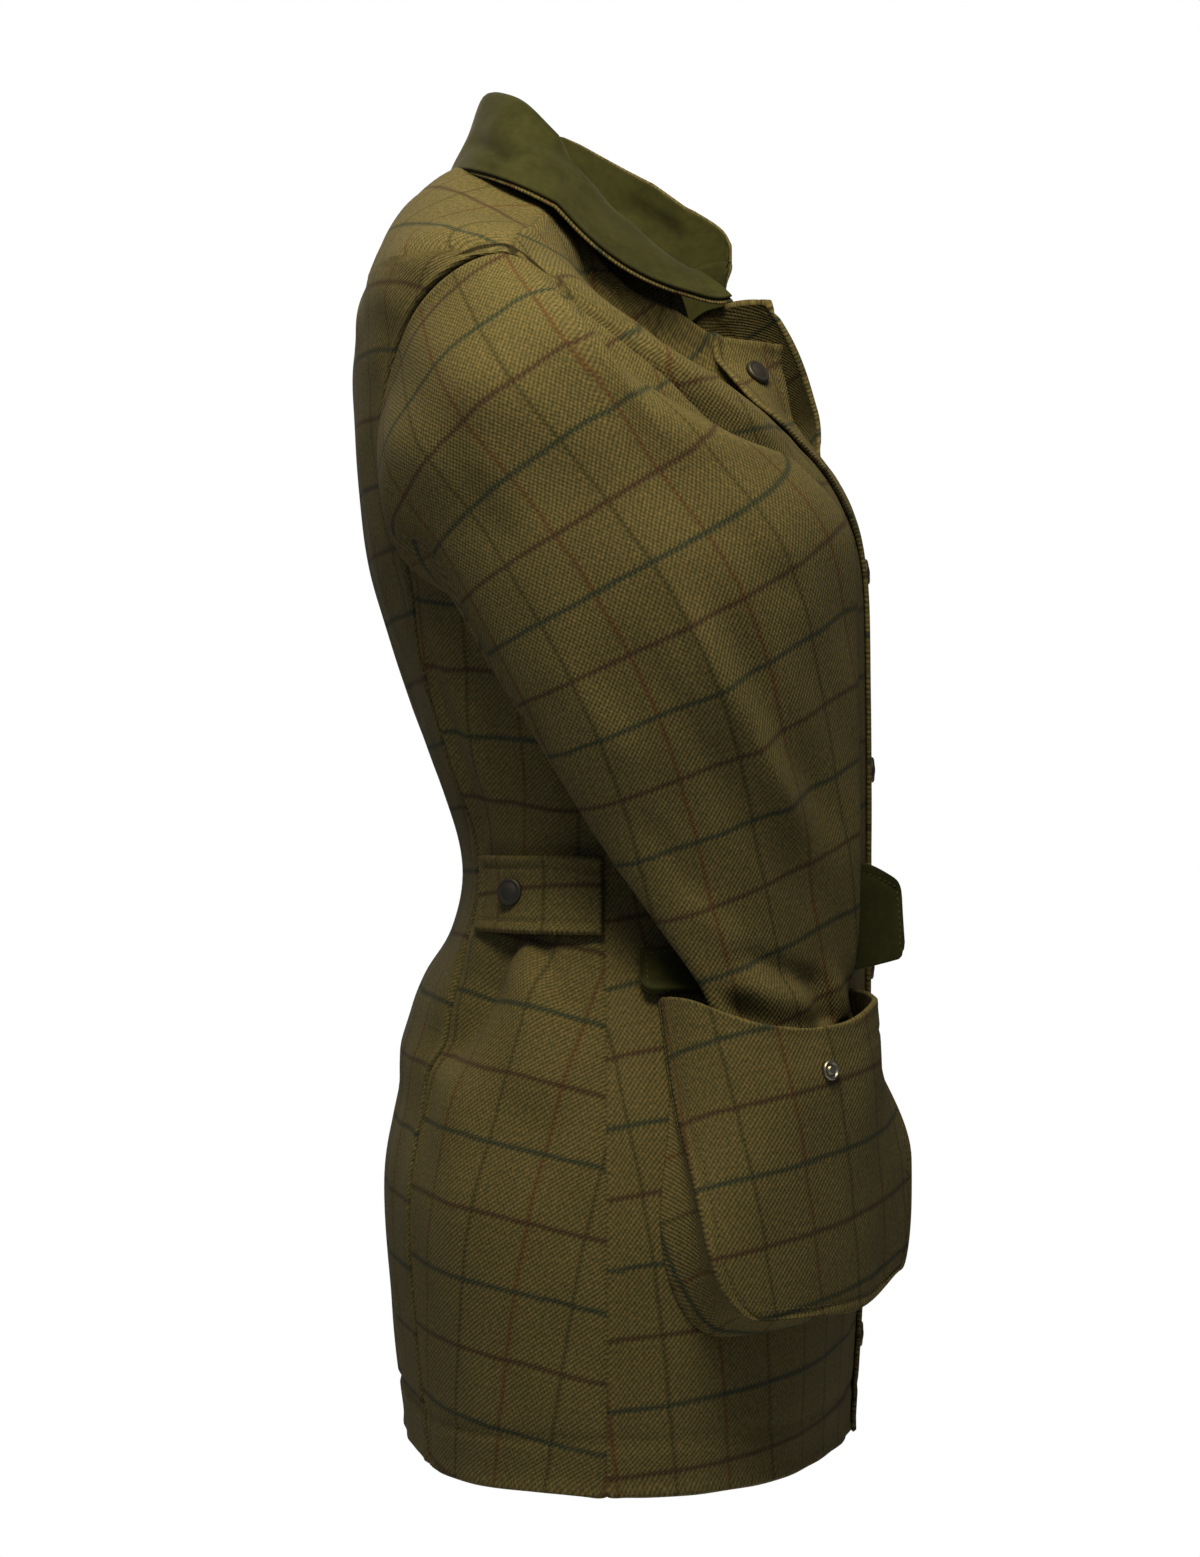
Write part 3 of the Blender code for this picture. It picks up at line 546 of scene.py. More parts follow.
def hem_turn(from_hem):
    """The hem's turning: a felled crease above the edge, and a fuller edge below it."""
    return 1.1 * swell(from_hem, 5.0) - 1.6 * swell(from_hem, 2.2, HEM_DEPTH)


def from_sides(width):
    """Distance from the nearer side of a piece, where the distance from its first side is given."""
    return np.minimum(width, width[:, -1:] - width)


# Spacing of a panel's lines, and the strip along a seam in which creases die out
STEP, CALM = 4.0, 14.0
BACK_LENGTH, BACK_WIDTH, BACK_SWELL = 790, 300, 7.0
back_rows = panel_levels(BACK_LENGTH, STEP, BUST)
back_limit = panel_limit(back_rows, back_arc, BUST, princess_angle(back_rows))
back_angle = (2 * shares(BACK_WIDTH, STEP)[None, :] - 1) * back_limit
back_swell = BACK_SWELL * ease(0.0, 0.6, back_rows) * (1 - ease(1.0, 2.0, back_rows))
back_swell = back_swell * (1 - ease(35, 75, np.abs(back_angle)))
back_base = body(back_angle, back_rows, back_swell)
middle = back_angle.shape[1] // 2
across, down = flat_pattern(back_base, (len(back_base) // 2, middle), (-1, middle), across=16.0)
weave = (across, down - down[-1, middle] + 2.0)
width, fall = runs(back_base, 1), runs(back_base, 0)
edge = from_sides(width)
below_shoulder = ease(SHOULDER - 0.2, SHOULDER, back_rows)
relief = (creased(back_angle, back_rows) + ripple(width, fall, 3)) * ease(0, CALM, edge)
relief = relief + pressed(edge) * (0.2 + 0.8 * below_shoulder) + hem_turn(fall[-1:] - fall)
outer = body(back_angle, back_rows, back_swell + WALL + relief)
inner = body(back_angle, back_rows, back_swell + giving_way(relief))
# Painted shade darkens the cloth along its side seams below the shoulder.
back = cloth("back", "back_panel", "tweed", outer, inner, weave, painted_shade=painted_seam_shade(edge) * below_shoulder)

# Side backs: two tapered tweed pieces from the underarm to the hem, between the princess seam and the
# side seam.  Cut with more flare than the back, so the check runs down towards the side seam.
SIDE_WARP = ((0, -539), (18, -639))
SIDE_WIDTH, SIDE_LENGTH = 130, 510
side_share = shares(SIDE_WIDTH, STEP)[None, :]
side_drop = shares(SIDE_LENGTH, STEP)[:, None]
top_place = princess_meets - side_share * (princess_meets - side_meets)
top_angle = np.interp(top_place, np.arange(len(seam_turns)), seam_angles)
top_level = np.interp(top_place, np.arange(len(seam_turns)), seam_levels)
side_level = between(top_level, HEM, side_drop)


def side_back_angle(level):
    """Angles across a side back between its two seams."""
    return between(princess_angle(level), SIDE_SEAM_ANGLE, side_share)


def nearest(grid, place, hidden=0.0):
    """Row and column of a grid that a side view shows nearest to a place."""
    apart = np.hypot(grid[..., 1] - place[0], grid[..., 2] - place[1]) + hidden
    return np.unravel_index(np.argmin(apart), apart.shape)


MIRROR = np.array((-1.0, 1.0, 1.0))


def flipped(values, side):
    """Values on a piece of the right side, or in the order of its mirror image on the left."""
    return values if side == "R" else values[:, ::-1]


def on_side(grid, side):
    """A piece of the right side, or its mirror image on the left."""
    return grid if side == "R" else grid[:, ::-1] * MIRROR


def laid(grid, warp, across=0.0, up=CHECK_HEIGHT / 2, hidden=0.0):
    """Weave coordinates of a piece with a warp thread between two places of the side view."""
    anchor, towards = [nearest(grid, place, hidden) for place in warp]
    return flat_pattern(grid, anchor, towards, across, up)


side_angle = side_back_angle(side_level) + (top_angle - side_back_angle(top_level)) * (1 - side_drop) ** 4
side_base = body(side_angle, side_level)
width, fall = runs(side_base, 1), runs(side_base, 0)
for side, seed in (("R", 5), ("L", 6)):
    flat = on_side(side_base, side)
    weave = laid(flat, SIDE_WARP, -1.0 if side == "R" else 1.0)
    relief = creased(side_angle, side_level) + ripple(width, fall, seed)
    relief = relief * ease(0, CALM, from_sides(width)) + pressed(width) + pressed(fall)
    relief = relief + 0.4 * pressed(width[:, -1:] - width) + hem_turn(fall[-1:] - fall)
    outer = on_side(body(side_angle, side_level, WALL + relief), side)
    inner = on_side(body(side_angle, side_level, giving_way(relief)), side)
    # Painted shade darkens the cloth along the princess seam and the armhole.
    painted_shade = flipped(painted_seam_shade(np.minimum(width, fall)), side)
    piece = cloth("side_back_cloth_" + side, "side_back_" + side, "tweed", outer, inner, weave, painted_shade=painted_shade)

# Fronts: two tweed pieces from shoulder seam, armhole and side seam to the front edge.  The right laps
# over the left from the bust down, and at the neck both stand open in a V, the left one higher.
NECK_EDGE_ANGLE, LAP_EDGE_ANGLE = 165.0, 188.0
LAP_STARTS, LAP_FULL = 158.0, 170.0
PLAIN_STARTS, PLAIN_FULL = 150.0, 160.0
EDGE_TURNS, EDGE_LAPS = 1.6, 4.4
RIGHT_FLARE, LEFT_FLARE, FLARE_SPREAD = 17.0, 25.0, 36.0
RIGHT_FLARE_ENDS, LEFT_FLARE_TURNS, LEFT_FLARE_ENDS = 1.5, 1.5, 3.1
RIGHT_NECK_RISE, LEFT_NECK_RISE = -12.0, 25.0
RISE_FULL, RISE_ENDS = 0.6, 2.2
FRONT_WARP = ((-19, -519), (-33, -619))
LIP_COLUMNS = ("angle", "rise", "forward")
NECK_LIP = (
    (90, 0, 0), (97, -8, 8), (104, -11, 14), (113, -10, 17), (122, -3, 16), (131, 2, 13), (140, 4, 10),
    (149, 5, 7), (158, 3, 6), (190, 1, 5),
)
LIP_ENDS = 0.45
NECK_FOLDS = (
    (24, -36, -60, -116, -9.0, 8),
    (-16, -78, -116, -140, -9.0, 8),
    (40, -62, -30, -112, 2.4, 9),
    (0, -96, -112, -160, 5.0, 10),
)


def front_edge_angle(level):
    """Angle of a front's free edge: back from the centre at the neck, past it from the bust down."""
    return between(NECK_EDGE_ANGLE, LAP_EDGE_ANGLE, ease(EDGE_TURNS, EDGE_LAPS, level))


def front(angle, level, out=0.0, right=True):
    """Point of a front panel: flared at the open neck, and lapped over the other front if right."""
    angle, level = spread(angle, level)
    towards_edge = 1 - (front_edge_angle(level) - angle) / FLARE_SPREAD
    near_edge = ease(0, 1, towards_edge)
    if right:
        flare = RIGHT_FLARE * near_edge * (1 - ease(NECK, RIGHT_FLARE_ENDS, level))
        flare = flare + LAID_ON * ease(LAP_STARTS, LAP_FULL, angle)
    else:
        flare = LEFT_FLARE * near_edge * (1 - ease(LEFT_FLARE_TURNS, LEFT_FLARE_ENDS, level))
    rise = (RIGHT_NECK_RISE if right else LEFT_NECK_RISE) * ease(0, RISE_FULL, towards_edge)
    rise = rise * (1 - ease(NECK, RISE_ENDS, level))
    return body(angle, level, out + flare) + np.multiply.outer(rise, (0.0, 0.0, 1.0))


def neck_lip(angle, level):
    """Shift of the right front's neck edge: it sinks by the collar and stands out towards the placket."""
    table = dict(zip(LIP_COLUMNS, np.array(NECK_LIP, dtype=float).T))
    near = 1 - ease(NECK, LIP_ENDS, level)
    rise = near * np.interp(angle, table["angle"], table["rise"])
    forward = near * np.interp(angle, table["angle"], table["forward"])
    turn = np.radians(angle)
    return np.stack((-forward * np.sin(turn), forward * np.cos(turn), rise), axis=-1)


FRONT_LENGTH, FRONT_WIDTH = 740, 270
front_rows = panel_levels(FRONT_LENGTH, STEP, underarm_level)
side_limit = panel_limit(front_rows, front_arc, underarm_level, SIDE_SEAM_ANGLE)
front_angle = between(side_limit, front_edge_angle(front_rows), shares(FRONT_WIDTH, STEP)[None, :])
for side, seed in (("R", 8), ("L", 9)):
    right = side == "R"
    lip = neck_lip(front_angle, front_rows) if right else 0.0
    base = front(front_angle, front_rows, 0.0, right) + lip
    width, fall = runs(base, 1), runs(base, 0)
    flat = on_side(base, side)
    weave = laid(flat, FRONT_WARP, 3.5 if right else -3.5)
    # The right front lies plain under the placket, and the left one where it is lapped
    plain = ease(PLAIN_STARTS, PLAIN_FULL, front_angle)
    if not right:
        plain = plain * ease(3.0, 4.0, front_rows)
    relief = (creased(front_angle, front_rows) + ripple(width, fall, seed)) * (1 - plain)
    relief = np.where(plain > 0, np.minimum(relief, 0.4), relief)
    relief = relief * ease(0, CALM, width) + 2.4 * turned_edge(fall, 8.0)
    relief = relief + 1.2 * swell(fall, 4.0)
    on_shoulder = 1 - ease(SHOULDER - 0.2, SHOULDER, front_rows)
    on_side_seam = ease(underarm_level, underarm_level + 0.1, front_rows)
    relief = relief + pressed(width) * (1 - 0.8 * on_shoulder - 0.6 * on_side_seam)
    relief = relief + hem_turn(fall[-1:] - fall)
    if right:
        neck_folds = fold_height(NECK_FOLDS, base[..., 1], base[..., 2]) * (1 - ease(3.0, 3.8, front_rows))
        relief = relief + neck_folds * (1 - plain) * ease(0, CALM, width) * ease(0, 8, fall)
    else:
        relief = relief + turned_edge(width[:, -1:] - width) * (1 - ease(2.4, 3.2, front_rows))
    outer = on_side(front(front_angle, front_rows, WALL + relief, right) + lip, side)
    inner = on_side(front(front_angle, front_rows, giving_way(relief), right) + lip, side)
    # Painted shade darkens the cloth along the armhole seam.
    painted_shade = flipped(painted_seam_shade(width) * (1 - on_shoulder) * (1 - on_side_seam), side)
    piece = cloth("front_cloth_" + side, "front_" + side, "tweed", outer, inner, weave, painted_shade=painted_shade)

# Storm placket: a double strip of tweed on the right front from neck to hem, over the front edge.
# It is turned at its edges and topstitched, and the press studs go through it.
PLACKET_SPAN, PLACKET_WIDTH = 21.0, 58
THREAD_LENGTH, THREAD_GAP, THREAD_RADIUS = 2.3, 1.3, 0.34
# Places along a stitch, with its radius there as a share and its height above the cloth
STITCH = ((0.0, 0.3, -0.25), (0.25, 1.0, 0.12), (0.75, 1.0, 0.12), (1.0, 0.3, -0.25))


def thread_material():
    """Dark olive sewing thread with a soft shine, darker and lighter along its length."""
    shade = Shader("thread")
    weave = shade.node("ShaderNodeTexCoord", {}).outputs["Object"]
    tone = shade.noise(weave, 900.0, 2.0)
    shade.feed("Base Color", shade.mix(tone, (0.030, 0.026, 0.010, 1), (0.085, 0.070, 0.028, 1)))
    shade.surface.inputs["Roughness"].default_value = 0.7
    return shade.material


thread = thread_material()


def tube_faces(first, rings, sides):
    """Faces round a tube of rings of points, numbered from the first one on."""
    faces = []
    for ring in range(rings - 1):
        low = first + ring * sides
        for corner in range(sides):
            following = (corner + 1) % sides
            faces.append((low + corner, low + following, low + sides + following, low + sides + corner))
    return faces


def stitches(name, outer, inner, lines):
    """Short stitches, half set into the outer face of a piece, along rows or columns of its grid."""
    sides = 6
    turn = np.arange(sides) * 2 * math.pi / sides
    points, faces = [], []
    for line, out in [(outer[place], (outer - inner)[place]) for place in lines]:
        length = runs(line, 0)
        for start in np.arange(THREAD_GAP, length[-1] - THREAD_LENGTH, THREAD_LENGTH + THREAD_GAP):
            stations = start + THREAD_LENGTH * np.array(STITCH)[:, 0]
            place, lift = [np.stack([np.interp(stations, length, way[:, axis]) for axis in range(3)], axis=1)
                           for way in (line, out)]
            lift = unit(lift)
            aside = np.cross(lift, unit(place[-1] - place[0]))
            first = sides * len(points)
            for station, (_, width, height) in enumerate(STITCH):
                circle = np.cos(turn)[:, None] * aside[station] + np.sin(turn)[:, None] * lift[station]
                points.append(place[station] + lift[station] * height + circle * THREAD_RADIUS * width)
            faces += tube_faces(first, len(STITCH), sides)
            faces.append(tuple(first + corner for corner in reversed(range(sides))))
            faces.append(tuple(first + 3 * sides + corner for corner in range(sides)))
    return made(name, points, faces, thread, "tweed")


STITCH_LINE = 7
angle = front_edge_angle(front_rows) - PLACKET_SPAN * (1 - shares(PLACKET_WIDTH, 3.0)[None, :])
lip = neck_lip(angle, front_rows)
inner = front(angle, front_rows, LAID_ON) + lip
weave = flat_pattern(inner, (-1, 0), (len(inner) // 2, 0), across=8.0, up=20.0, turn=180)
width, fall = runs(inner, 1), runs(inner, 0)
edge = from_sides(width)
relief = turned_edge(edge) + turned_edge(fall) + 0.5 * hem_turn(fall[-1:] - fall)
relief = relief + 0.5 * ripple(width, fall, 12) * ease(0, 10, edge)
outer = front(angle, front_rows, LAID_ON + WALL + relief) + lip
placket = cloth("placket_cloth", "storm_placket_R", "tweed", outer, inner, weave)
sewing = stitches("placket_stitches", outer, inner, (np.s_[:, STITCH_LINE], np.s_[:, -1 - STITCH_LINE]))

# Sleeves: tweed tubes eased into the armholes, so the cap stands a little full above the seam.  They
# hang forward along the body's side, and their ends are pushed down into the pocket mouths.
SLEEVE_COLUMNS = ("back_y", "back_z", "front_y", "front_z", "inner_gap", "outer_gap", "inner_drop")
SLEEVE = (
    (90, -214, -106, -166, 9, 58, 58),
    (61, -267, -136, -201, 11, 64, 42),
    (29, -321, -140, -262, 13, 64, 22),
    (0, -369, -141, -318, 15, 60, 9),
    (-26, -407, -142, -373, 16, 53, 3),
    (-52, -444, -141, -424, 14, 39, 0),
    (-72, -480, -135, -468, 11, 34, 0),
)
SLEEVE_FLOOR_X, SLEEVE_FLOOR_POWER = 105.0, 6
CAP_BULGE_OUTER, CAP_BULGE_INNER = 24.0, 5.0
SLEEVE_SEAM_LIFT, SEAM_TURNING, TURNING_DROP = WALL + 1.7, 7.0, 1.6
HEAD_RIDGE, HEAD_HOLLOW = 6.5, 6.0
CAP_LENGTH, ARM_LENGTH, OUTER_SIDE_X = 110, 320, 197.0
SLEEVE_FOLDS = (
    (-35, -234, -119, -386, 7, 15),
    (20, -215, -60, -400, -4, 16),
)
# A rust line of the check runs down the sleeve between these side-view places, and crosses a teal one
# at the first
SLEEVE_WARP = ((1, -240), (-47, -349))
SLEEVE_CREASES = (
    (-20, -206, -124, -396, 3.4, 5),
    (-46, -214, -136, -380, -4.0, 8),
    (-8, -246, -104, -404, -2.4, 9),
    (70, -110, 58, -190, 1.6, 12),
    (88, -150, 40, -230, -1.8, 10),
    (-60, -190, -110, -250, -2.0, 9),
    (40, -260, -30, -340, 1.6, 11),
    (-10, -340, -70, -420, -2.0, 8),
    (-80, -330, -120, -420, -2.2, 9),
    (-40, -390, -100, -455, 2.0, 8),
    (-66, -424, -128, -450, -3.4, 6),
    (-60, -440, -124, -462, 2.6, 6),
    (-62, -452, -110, -474, -3.0, 5),
)


def way_out(grid, closed=False):
    """Unit vectors out of a grid of points, whose columns may close into rings."""
    along = np.roll(grid, -1, axis=1) - np.roll(grid, 1, axis=1) if closed else np.gradient(grid, axis=1)
    return unit(np.cross(np.gradient(grid, axis=0), along))


sleeve_turns = np.linspace(0, 360, 132, endpoint=False)
arm_side_view = spline_rows(ARMHOLE, sleeve_turns / 30, closed=True)
arm_angle, arm_level = side_place(arm_side_view[:, 0], arm_side_view[:, 1])
arm_seam, arm_out = body(arm_angle, arm_level, SLEEVE_SEAM_LIFT), outward(arm_angle, arm_level)
chord, bulge = -np.cos(np.radians(sleeve_turns)), np.sin(np.radians(sleeve_turns))
sleeve_rings = []
for row in SLEEVE:
    arm = dict(zip(SLEEVE_COLUMNS, row))
    ring_y = (arm["back_y"] + arm["front_y"]) / 2 + chord * (arm["front_y"] - arm["back_y"]) / 2
    ring_z = (arm["back_z"] + arm["front_z"]) / 2 + chord * (arm["front_z"] - arm["back_z"]) / 2
    ring_z = ring_z - arm["inner_drop"] * np.clip(-bulge, 0, 1)
    off_body = (arm["inner_gap"] + arm["outer_gap"]) / 2 + bulge * (arm["outer_gap"] - arm["inner_gap"]) / 2
    off_body = off_body + np.clip(bulge, 0, 1) * fold_height(SLEEVE_FOLDS, ring_y, ring_z)
    ring = torso(*side_place(ring_y, ring_z))
    reach_x = ring[:, 0] ** SLEEVE_FLOOR_POWER + SLEEVE_FLOOR_X ** SLEEVE_FLOOR_POWER
    ring[:, 0] = -reach_x ** (1 / SLEEVE_FLOOR_POWER) - off_body
    sleeve_rings.append(ring)
cap_bulge = between(CAP_BULGE_INNER, CAP_BULGE_OUTER, ((1 + bulge) / 2) ** 2)
cap = (arm_seam + sleeve_rings[0]) / 2 + arm_out * cap_bulge[:, None]
sleeve_places = (2 * shares(CAP_LENGTH, STEP), 2 + 6 * shares(ARM_LENGTH, STEP))
sleeve_places = np.unique(np.concatenate(sleeve_places))
sleeve_grid = smooth_grid([arm_seam, cap] + sleeve_rings, sleeve_places)
sleeve_out = way_out(sleeve_grid, closed=True)
fall, width = runs(sleeve_grid, 0), runs(sleeve_grid, 1)
from_end = fall[-1:] - fall
head = HEAD_RIDGE * swell(fall, 7, 9) - HEAD_HOLLOW * swell(fall, 10, 29)
head = head * ease(96, 126, sleeve_turns) * (1 - ease(145, 178, sleeve_turns))
# The first row of the sleeve is the end of its seam turning, under the panels, and the second its bend
arm_centre = unit(arm_seam.mean(axis=0) - arm_seam)
seam_bottom = arm_seam - arm_out * (SLEEVE_SEAM_LIFT + TURNING_DROP)
seam_bend, seam_tail = seam_bottom + arm_centre * SEAM, seam_bottom - arm_centre * SEAM_TURNING
for side, seed in (("R", 15), ("L", 16)):
    relief = fold_height(SLEEVE_CREASES, sleeve_grid[..., 1], sleeve_grid[..., 2]) * ease(0.0, 0.55, bulge)
    relief = relief + ripple(width, fall, seed, 0.6) * ease(-0.2, 0.4, bulge)
    relief = relief * ease(0, 16, fall) * ease(0, 10, from_end)
    crumple = np.sin(width / 7.5 + seed) + 0.7 * np.sin(width / 4.3 + 1.0)
    relief = relief + 2.2 * crumple * ease(0, 6, from_end) * (1 - ease(14, 42, from_end))
    relief = relief + head + pressed(fall) * 0.9 + turned_edge(from_end) * 0.7
    inner = sleeve_grid + sleeve_out * (giving_way(relief) - WALL)[..., None]
    outer = sleeve_grid + sleeve_out * relief[..., None]
    outer[0], inner[0] = seam_tail, seam_tail - arm_out * WALL
    outer[1], inner[1] = seam_bend, seam_bend + arm_centre * WALL - arm_out * WALL
    inner, outer, flat = [on_side(grid, side) for grid in (inner, outer, sleeve_grid - sleeve_out * WALL)]
    whole = np.concatenate((flat, flat[:, :1]), axis=1)
    hidden = np.where(np.abs(whole[..., 0]) > OUTER_SIDE_X, 0, 1000)
    weave = laid(whole, SLEEVE_WARP, CHECK_WIDTH / 2, hidden=hidden)
    # Painted shade darkens the sleeve along the armhole seam.
    piece = cloth("sleeve_cloth_" + side, "sleeve_" + side, "tweed", outer, inner, weave, closed=True,
                  painted_shade=flipped(painted_seam_shade(fall), side))

# Collar: a stand and a turned leaf in two layers, moleskin on top and tweed beneath, sewn together at
# the edge and set into the neck seam.  The right leaf lies down and the left one stands up.
THIN_WALL = 1.6
COLLAR_COLUMNS = ("angle", "roll_out", "roll_up", "edge_out", "edge_up")
COLLAR = (
    (-154, -2, 25, 2, 52),
    (-140, -3, 36, 5, 72),
    (-129, -4, 42, 7, 96),
    (-118, -4, 44, 8, 92),
    (-90, -5, 40, 9, 66),
    (-45, 0, 36, 25, 26),
    (0, 4, 35, 33, -10),
    (40, 0, 33, 34, -11),
    (75, -8, 32, 45, -14),
    (100, -10, 34, 38, -8),
    (125, -10, 48, 30, 10),
    (148, -8, 46, 16, 31),
)
# Side-view line of the standing leaf's edge, and the soft creases of both leaves
STANDING_EDGE_COLUMNS = ("y", "z")
STANDING_EDGE = ((-78, -18), (-55, 7), (-32, 25), (12, 51), (24, 57))
LEAF_END_Y = -78.0
COLLAR_CREASES = (
    (76, 36, 46, 4, -4.5, 5),
    (46, 34, 8, 10, -4.0, 6),
    (20, 8, -30, -26, 2.0, 6),
    (-8, 20, -58, -12, -4.5, 8),
)
COLLAR_LENGTH, COLLAR_DEPTH = 520, 100
COLLAR_INSET, COLLAR_LIFT, STAND_BOW = 3.0, 0.6, 5.5
UNDER_SHOWS, STAND_BACK = 2.2, 8.0
LEAF_STANDS, LEAF_TURNS = 40.0, -10.0
SECTION_COLUMNS = ("roll_out", "edge_out", "bow", "roll_up", "edge_up", "crown")
COLLAR_SECTION = (
    (0.0, 0.0, 0.0, 0.0, 0.0, 0.0),
    (0.45, 0.0, -0.3, 0.5, 0.0, 0.0),
    (1.0, 0.0, -0.5, 0.9, 0.0, 0.0),
    (1.0, 0.12, 0.8, 1.0, 0.0, 1.5),
    (0.38, 0.62, 0.0, 0.5, 0.5, 0.0),
    (0.0, 1.0, 0.0, 0.0, 1.0, 0.0),
)


def moleskin_material():
    """Dark olive moleskin: a close brushed cotton with a short nap that catches light where it is rubbed."""
    shade = Shader("moleskin")
    weave = shade.node("ShaderNodeUVMap", {}, uv_map="weave").outputs[0]
    cloud = shade.noise(weave, 38.0, 3.0, 0.6)
    rub = shade.noise(weave, 210.0, 3.0, 0.6)
    nap = shade.noise(weave, 2600.0, 2.0, 0.6)
    tone = shade.scaled(cloud, 1.2, shade.calc("MULTIPLY", rub, 0.6))
    tone = shade.calc("SUBTRACT", tone, 0.42, True)
    colour = shade.mix(tone, (0.011, 0.0125, 0.0045, 1), (0.044, 0.046, 0.016, 1))
    colour = shade.mix(shade.calc("MULTIPLY", nap, 0.4), colour, (0.010, 0.012, 0.0045, 1))
    shade.feed("Base Color", colour)
    height = shade.scaled(nap, 0.5, shade.calc("MULTIPLY", rub, 0.8))
    bump = shade.node("ShaderNodeBump", {"Strength": 0.35, "Distance": 0.0005, "Height": height})
    shade.feed("Normal", bump.outputs[0])
    shade.surface.inputs["Roughness"].default_value = 0.9
    shade.surface.inputs["Specular IOR Level"].default_value = 0.1
    shade.surface.inputs["Sheen Weight"].default_value = 0.05
    shade.surface.inputs["Sheen Roughness"].default_value = 0.4
    return shade.material


cloths["moleskin"] = moleskin_material()


def neck_seam(angle):
    """Neck seam point of the panel that the collar is sewn to at this angle."""
    right = front(angle, NECK)
    left = front(-angle, NECK, right=False) * MIRROR
    on_front = (np.abs(angle) > SHOULDER_SEAM_ANGLE)[..., None]
    return np.where(on_front, np.where((angle > 0)[..., None], right, left), body(angle, NECK))


def laid_straight(grid):
    """Weave coordinates of a piece with a warp thread down its middle."""
    middle = grid.shape[1] // 2
    return flat_pattern(grid, (0, middle), (-1, middle))


collar_places = (len(COLLAR) - 1) * shares(COLLAR_LENGTH, 3.0)
collar_rows = dict(zip(COLLAR_COLUMNS, spline_rows(COLLAR, collar_places).T))
seam_point = neck_seam(collar_rows["angle"])
away = seam_point - np.array((0.0, RINGS[NECK][1], 0.0))
away[:, 2] = 0
away = unit(away)
up = np.array((0.0, 0.0, 1.0))
seam_point = seam_point - away * COLLAR_INSET + up * COLLAR_LIFT
standing = dict(zip(STANDING_EDGE_COLUMNS, np.array(STANDING_EDGE, dtype=float).T))
edge_point = seam_point + away * collar_rows["edge_out"][:, None] + up * collar_rows["edge_up"][:, None]
straight = np.interp(edge_point[:, 1], standing["y"], standing["z"]) - edge_point[:, 2]
stands = 1 - ease(-75, -50, collar_rows["angle"])
collar_rows["edge_up"] = collar_rows["edge_up"] + straight * stands
leaf_turned = ease(LEAF_STANDS, LEAF_TURNS, collar_rows["edge_up"] - collar_rows["roll_up"])
collar_lines = []
for row in COLLAR_SECTION:
    part = dict(zip(SECTION_COLUMNS, row))
    out = part["roll_out"] * collar_rows["roll_out"] + part["edge_out"] * collar_rows["edge_out"]
    rise = part["roll_up"] * collar_rows["roll_up"] + part["edge_up"] * collar_rows["edge_up"]
    out = out + part["bow"] * STAND_BOW * leaf_turned
    out = out - STAND_BACK * (part["edge_up"] == 0) * ease(95, 120, collar_rows["angle"])
    rise = rise + part["crown"] * leaf_turned
    collar_lines.append(seam_point + away * out[:, None] + up * rise[:, None])
collar_lines = np.stack(collar_lines)
leaf_end = 1 - ease(-154, -140, collar_rows["angle"])
for section, part in enumerate((0.0, 0.5, 1.0, 1.0, 1.0, 1.0)):
    collar_lines[section, :, 1] += part * leaf_end * (LEAF_END_Y - collar_lines[section, :, 1])
collar_grid = smooth_grid(collar_lines, (len(COLLAR_SECTION) - 1) * shares(COLLAR_DEPTH, 2.6))
along, depth = runs(collar_grid, 1), runs(collar_grid, 0)
edge = np.minimum(from_sides(along), depth[-1:] - depth)
crease = fold_height(COLLAR_CREASES, collar_grid[..., 1], collar_grid[..., 2])
crease = crease * ease(2, 16, edge) * ease(35, 55, depth)
collar_grid = collar_grid + way_out(collar_grid) * crease[..., None]
collar_out = way_out(collar_grid)
relief = 0.35 * ripple(along, depth, 21, 1.2) * ease(0, 12, edge) + 0.5 * swell(edge, 3.0)
inner = collar_grid + collar_out * SEAM / 2
outer = collar_grid + collar_out * (SEAM / 2 + THIN_WALL + relief)[..., None]
weave = laid_straight(inner)
top_collar = cloth("collar_moleskin", "collar_top", "moleskin", outer, inner, weave)
edge_way = unit(collar_grid[-1] - collar_grid[-2])
under_grid = np.concatenate((collar_grid[:-1], collar_grid[-1:] + UNDER_SHOWS * edge_way))
inner = (under_grid - collar_out * SEAM / 2)[:, ::-1]
outer = (under_grid - collar_out * (SEAM / 2 + THIN_WALL))[:, ::-1]
weave = laid_straight(inner)
under_collar = cloth("collar_tweed", "collar_under", "tweed", outer, inner, weave)

# Bellows pockets: a rounded tweed face on each front, stood off by a gusset that folds in on itself so
# the pocket can swell.  Face and gusset are sewn edge to edge, and the mouth is turned and stitched.
POCKET_BACK_ANGLE, POCKET_FRONT_ANGLE = 100.5, 145.0
POCKET_TOP_Z, POCKET_BOTTOM_Z = -454.0, -617.0
POCKET_CORNER, CORNER_PULL = 0.24, 0.22
POCKET_DEPTH, POCKET_MOUTH, POCKET_EDGE, POCKET_LEAN = 36.0, 46.0, 6.5, 3.5
BOTTOM_RISE = 14.0
MOUTH_BACK_POWER, MOUTH_FRONT_POWER = 4.0, 2.4
MOUTH_BACK_STARTS, MOUTH_BACK_ENDS = 0.2, 0.9
MOUTH_FRONT_STARTS, MOUTH_FRONT_ENDS = 0.0, 0.6
MOUTH_SAG, SAG_ENDS = ((2,), (21,), (21,), (8,), (0,)), 0.7
BODY_RADIUS = 190.0
GUSSET = ((1.0, 1.5), (0.62, 7.0), (0.3, 7.0), (0.0, 1.5))
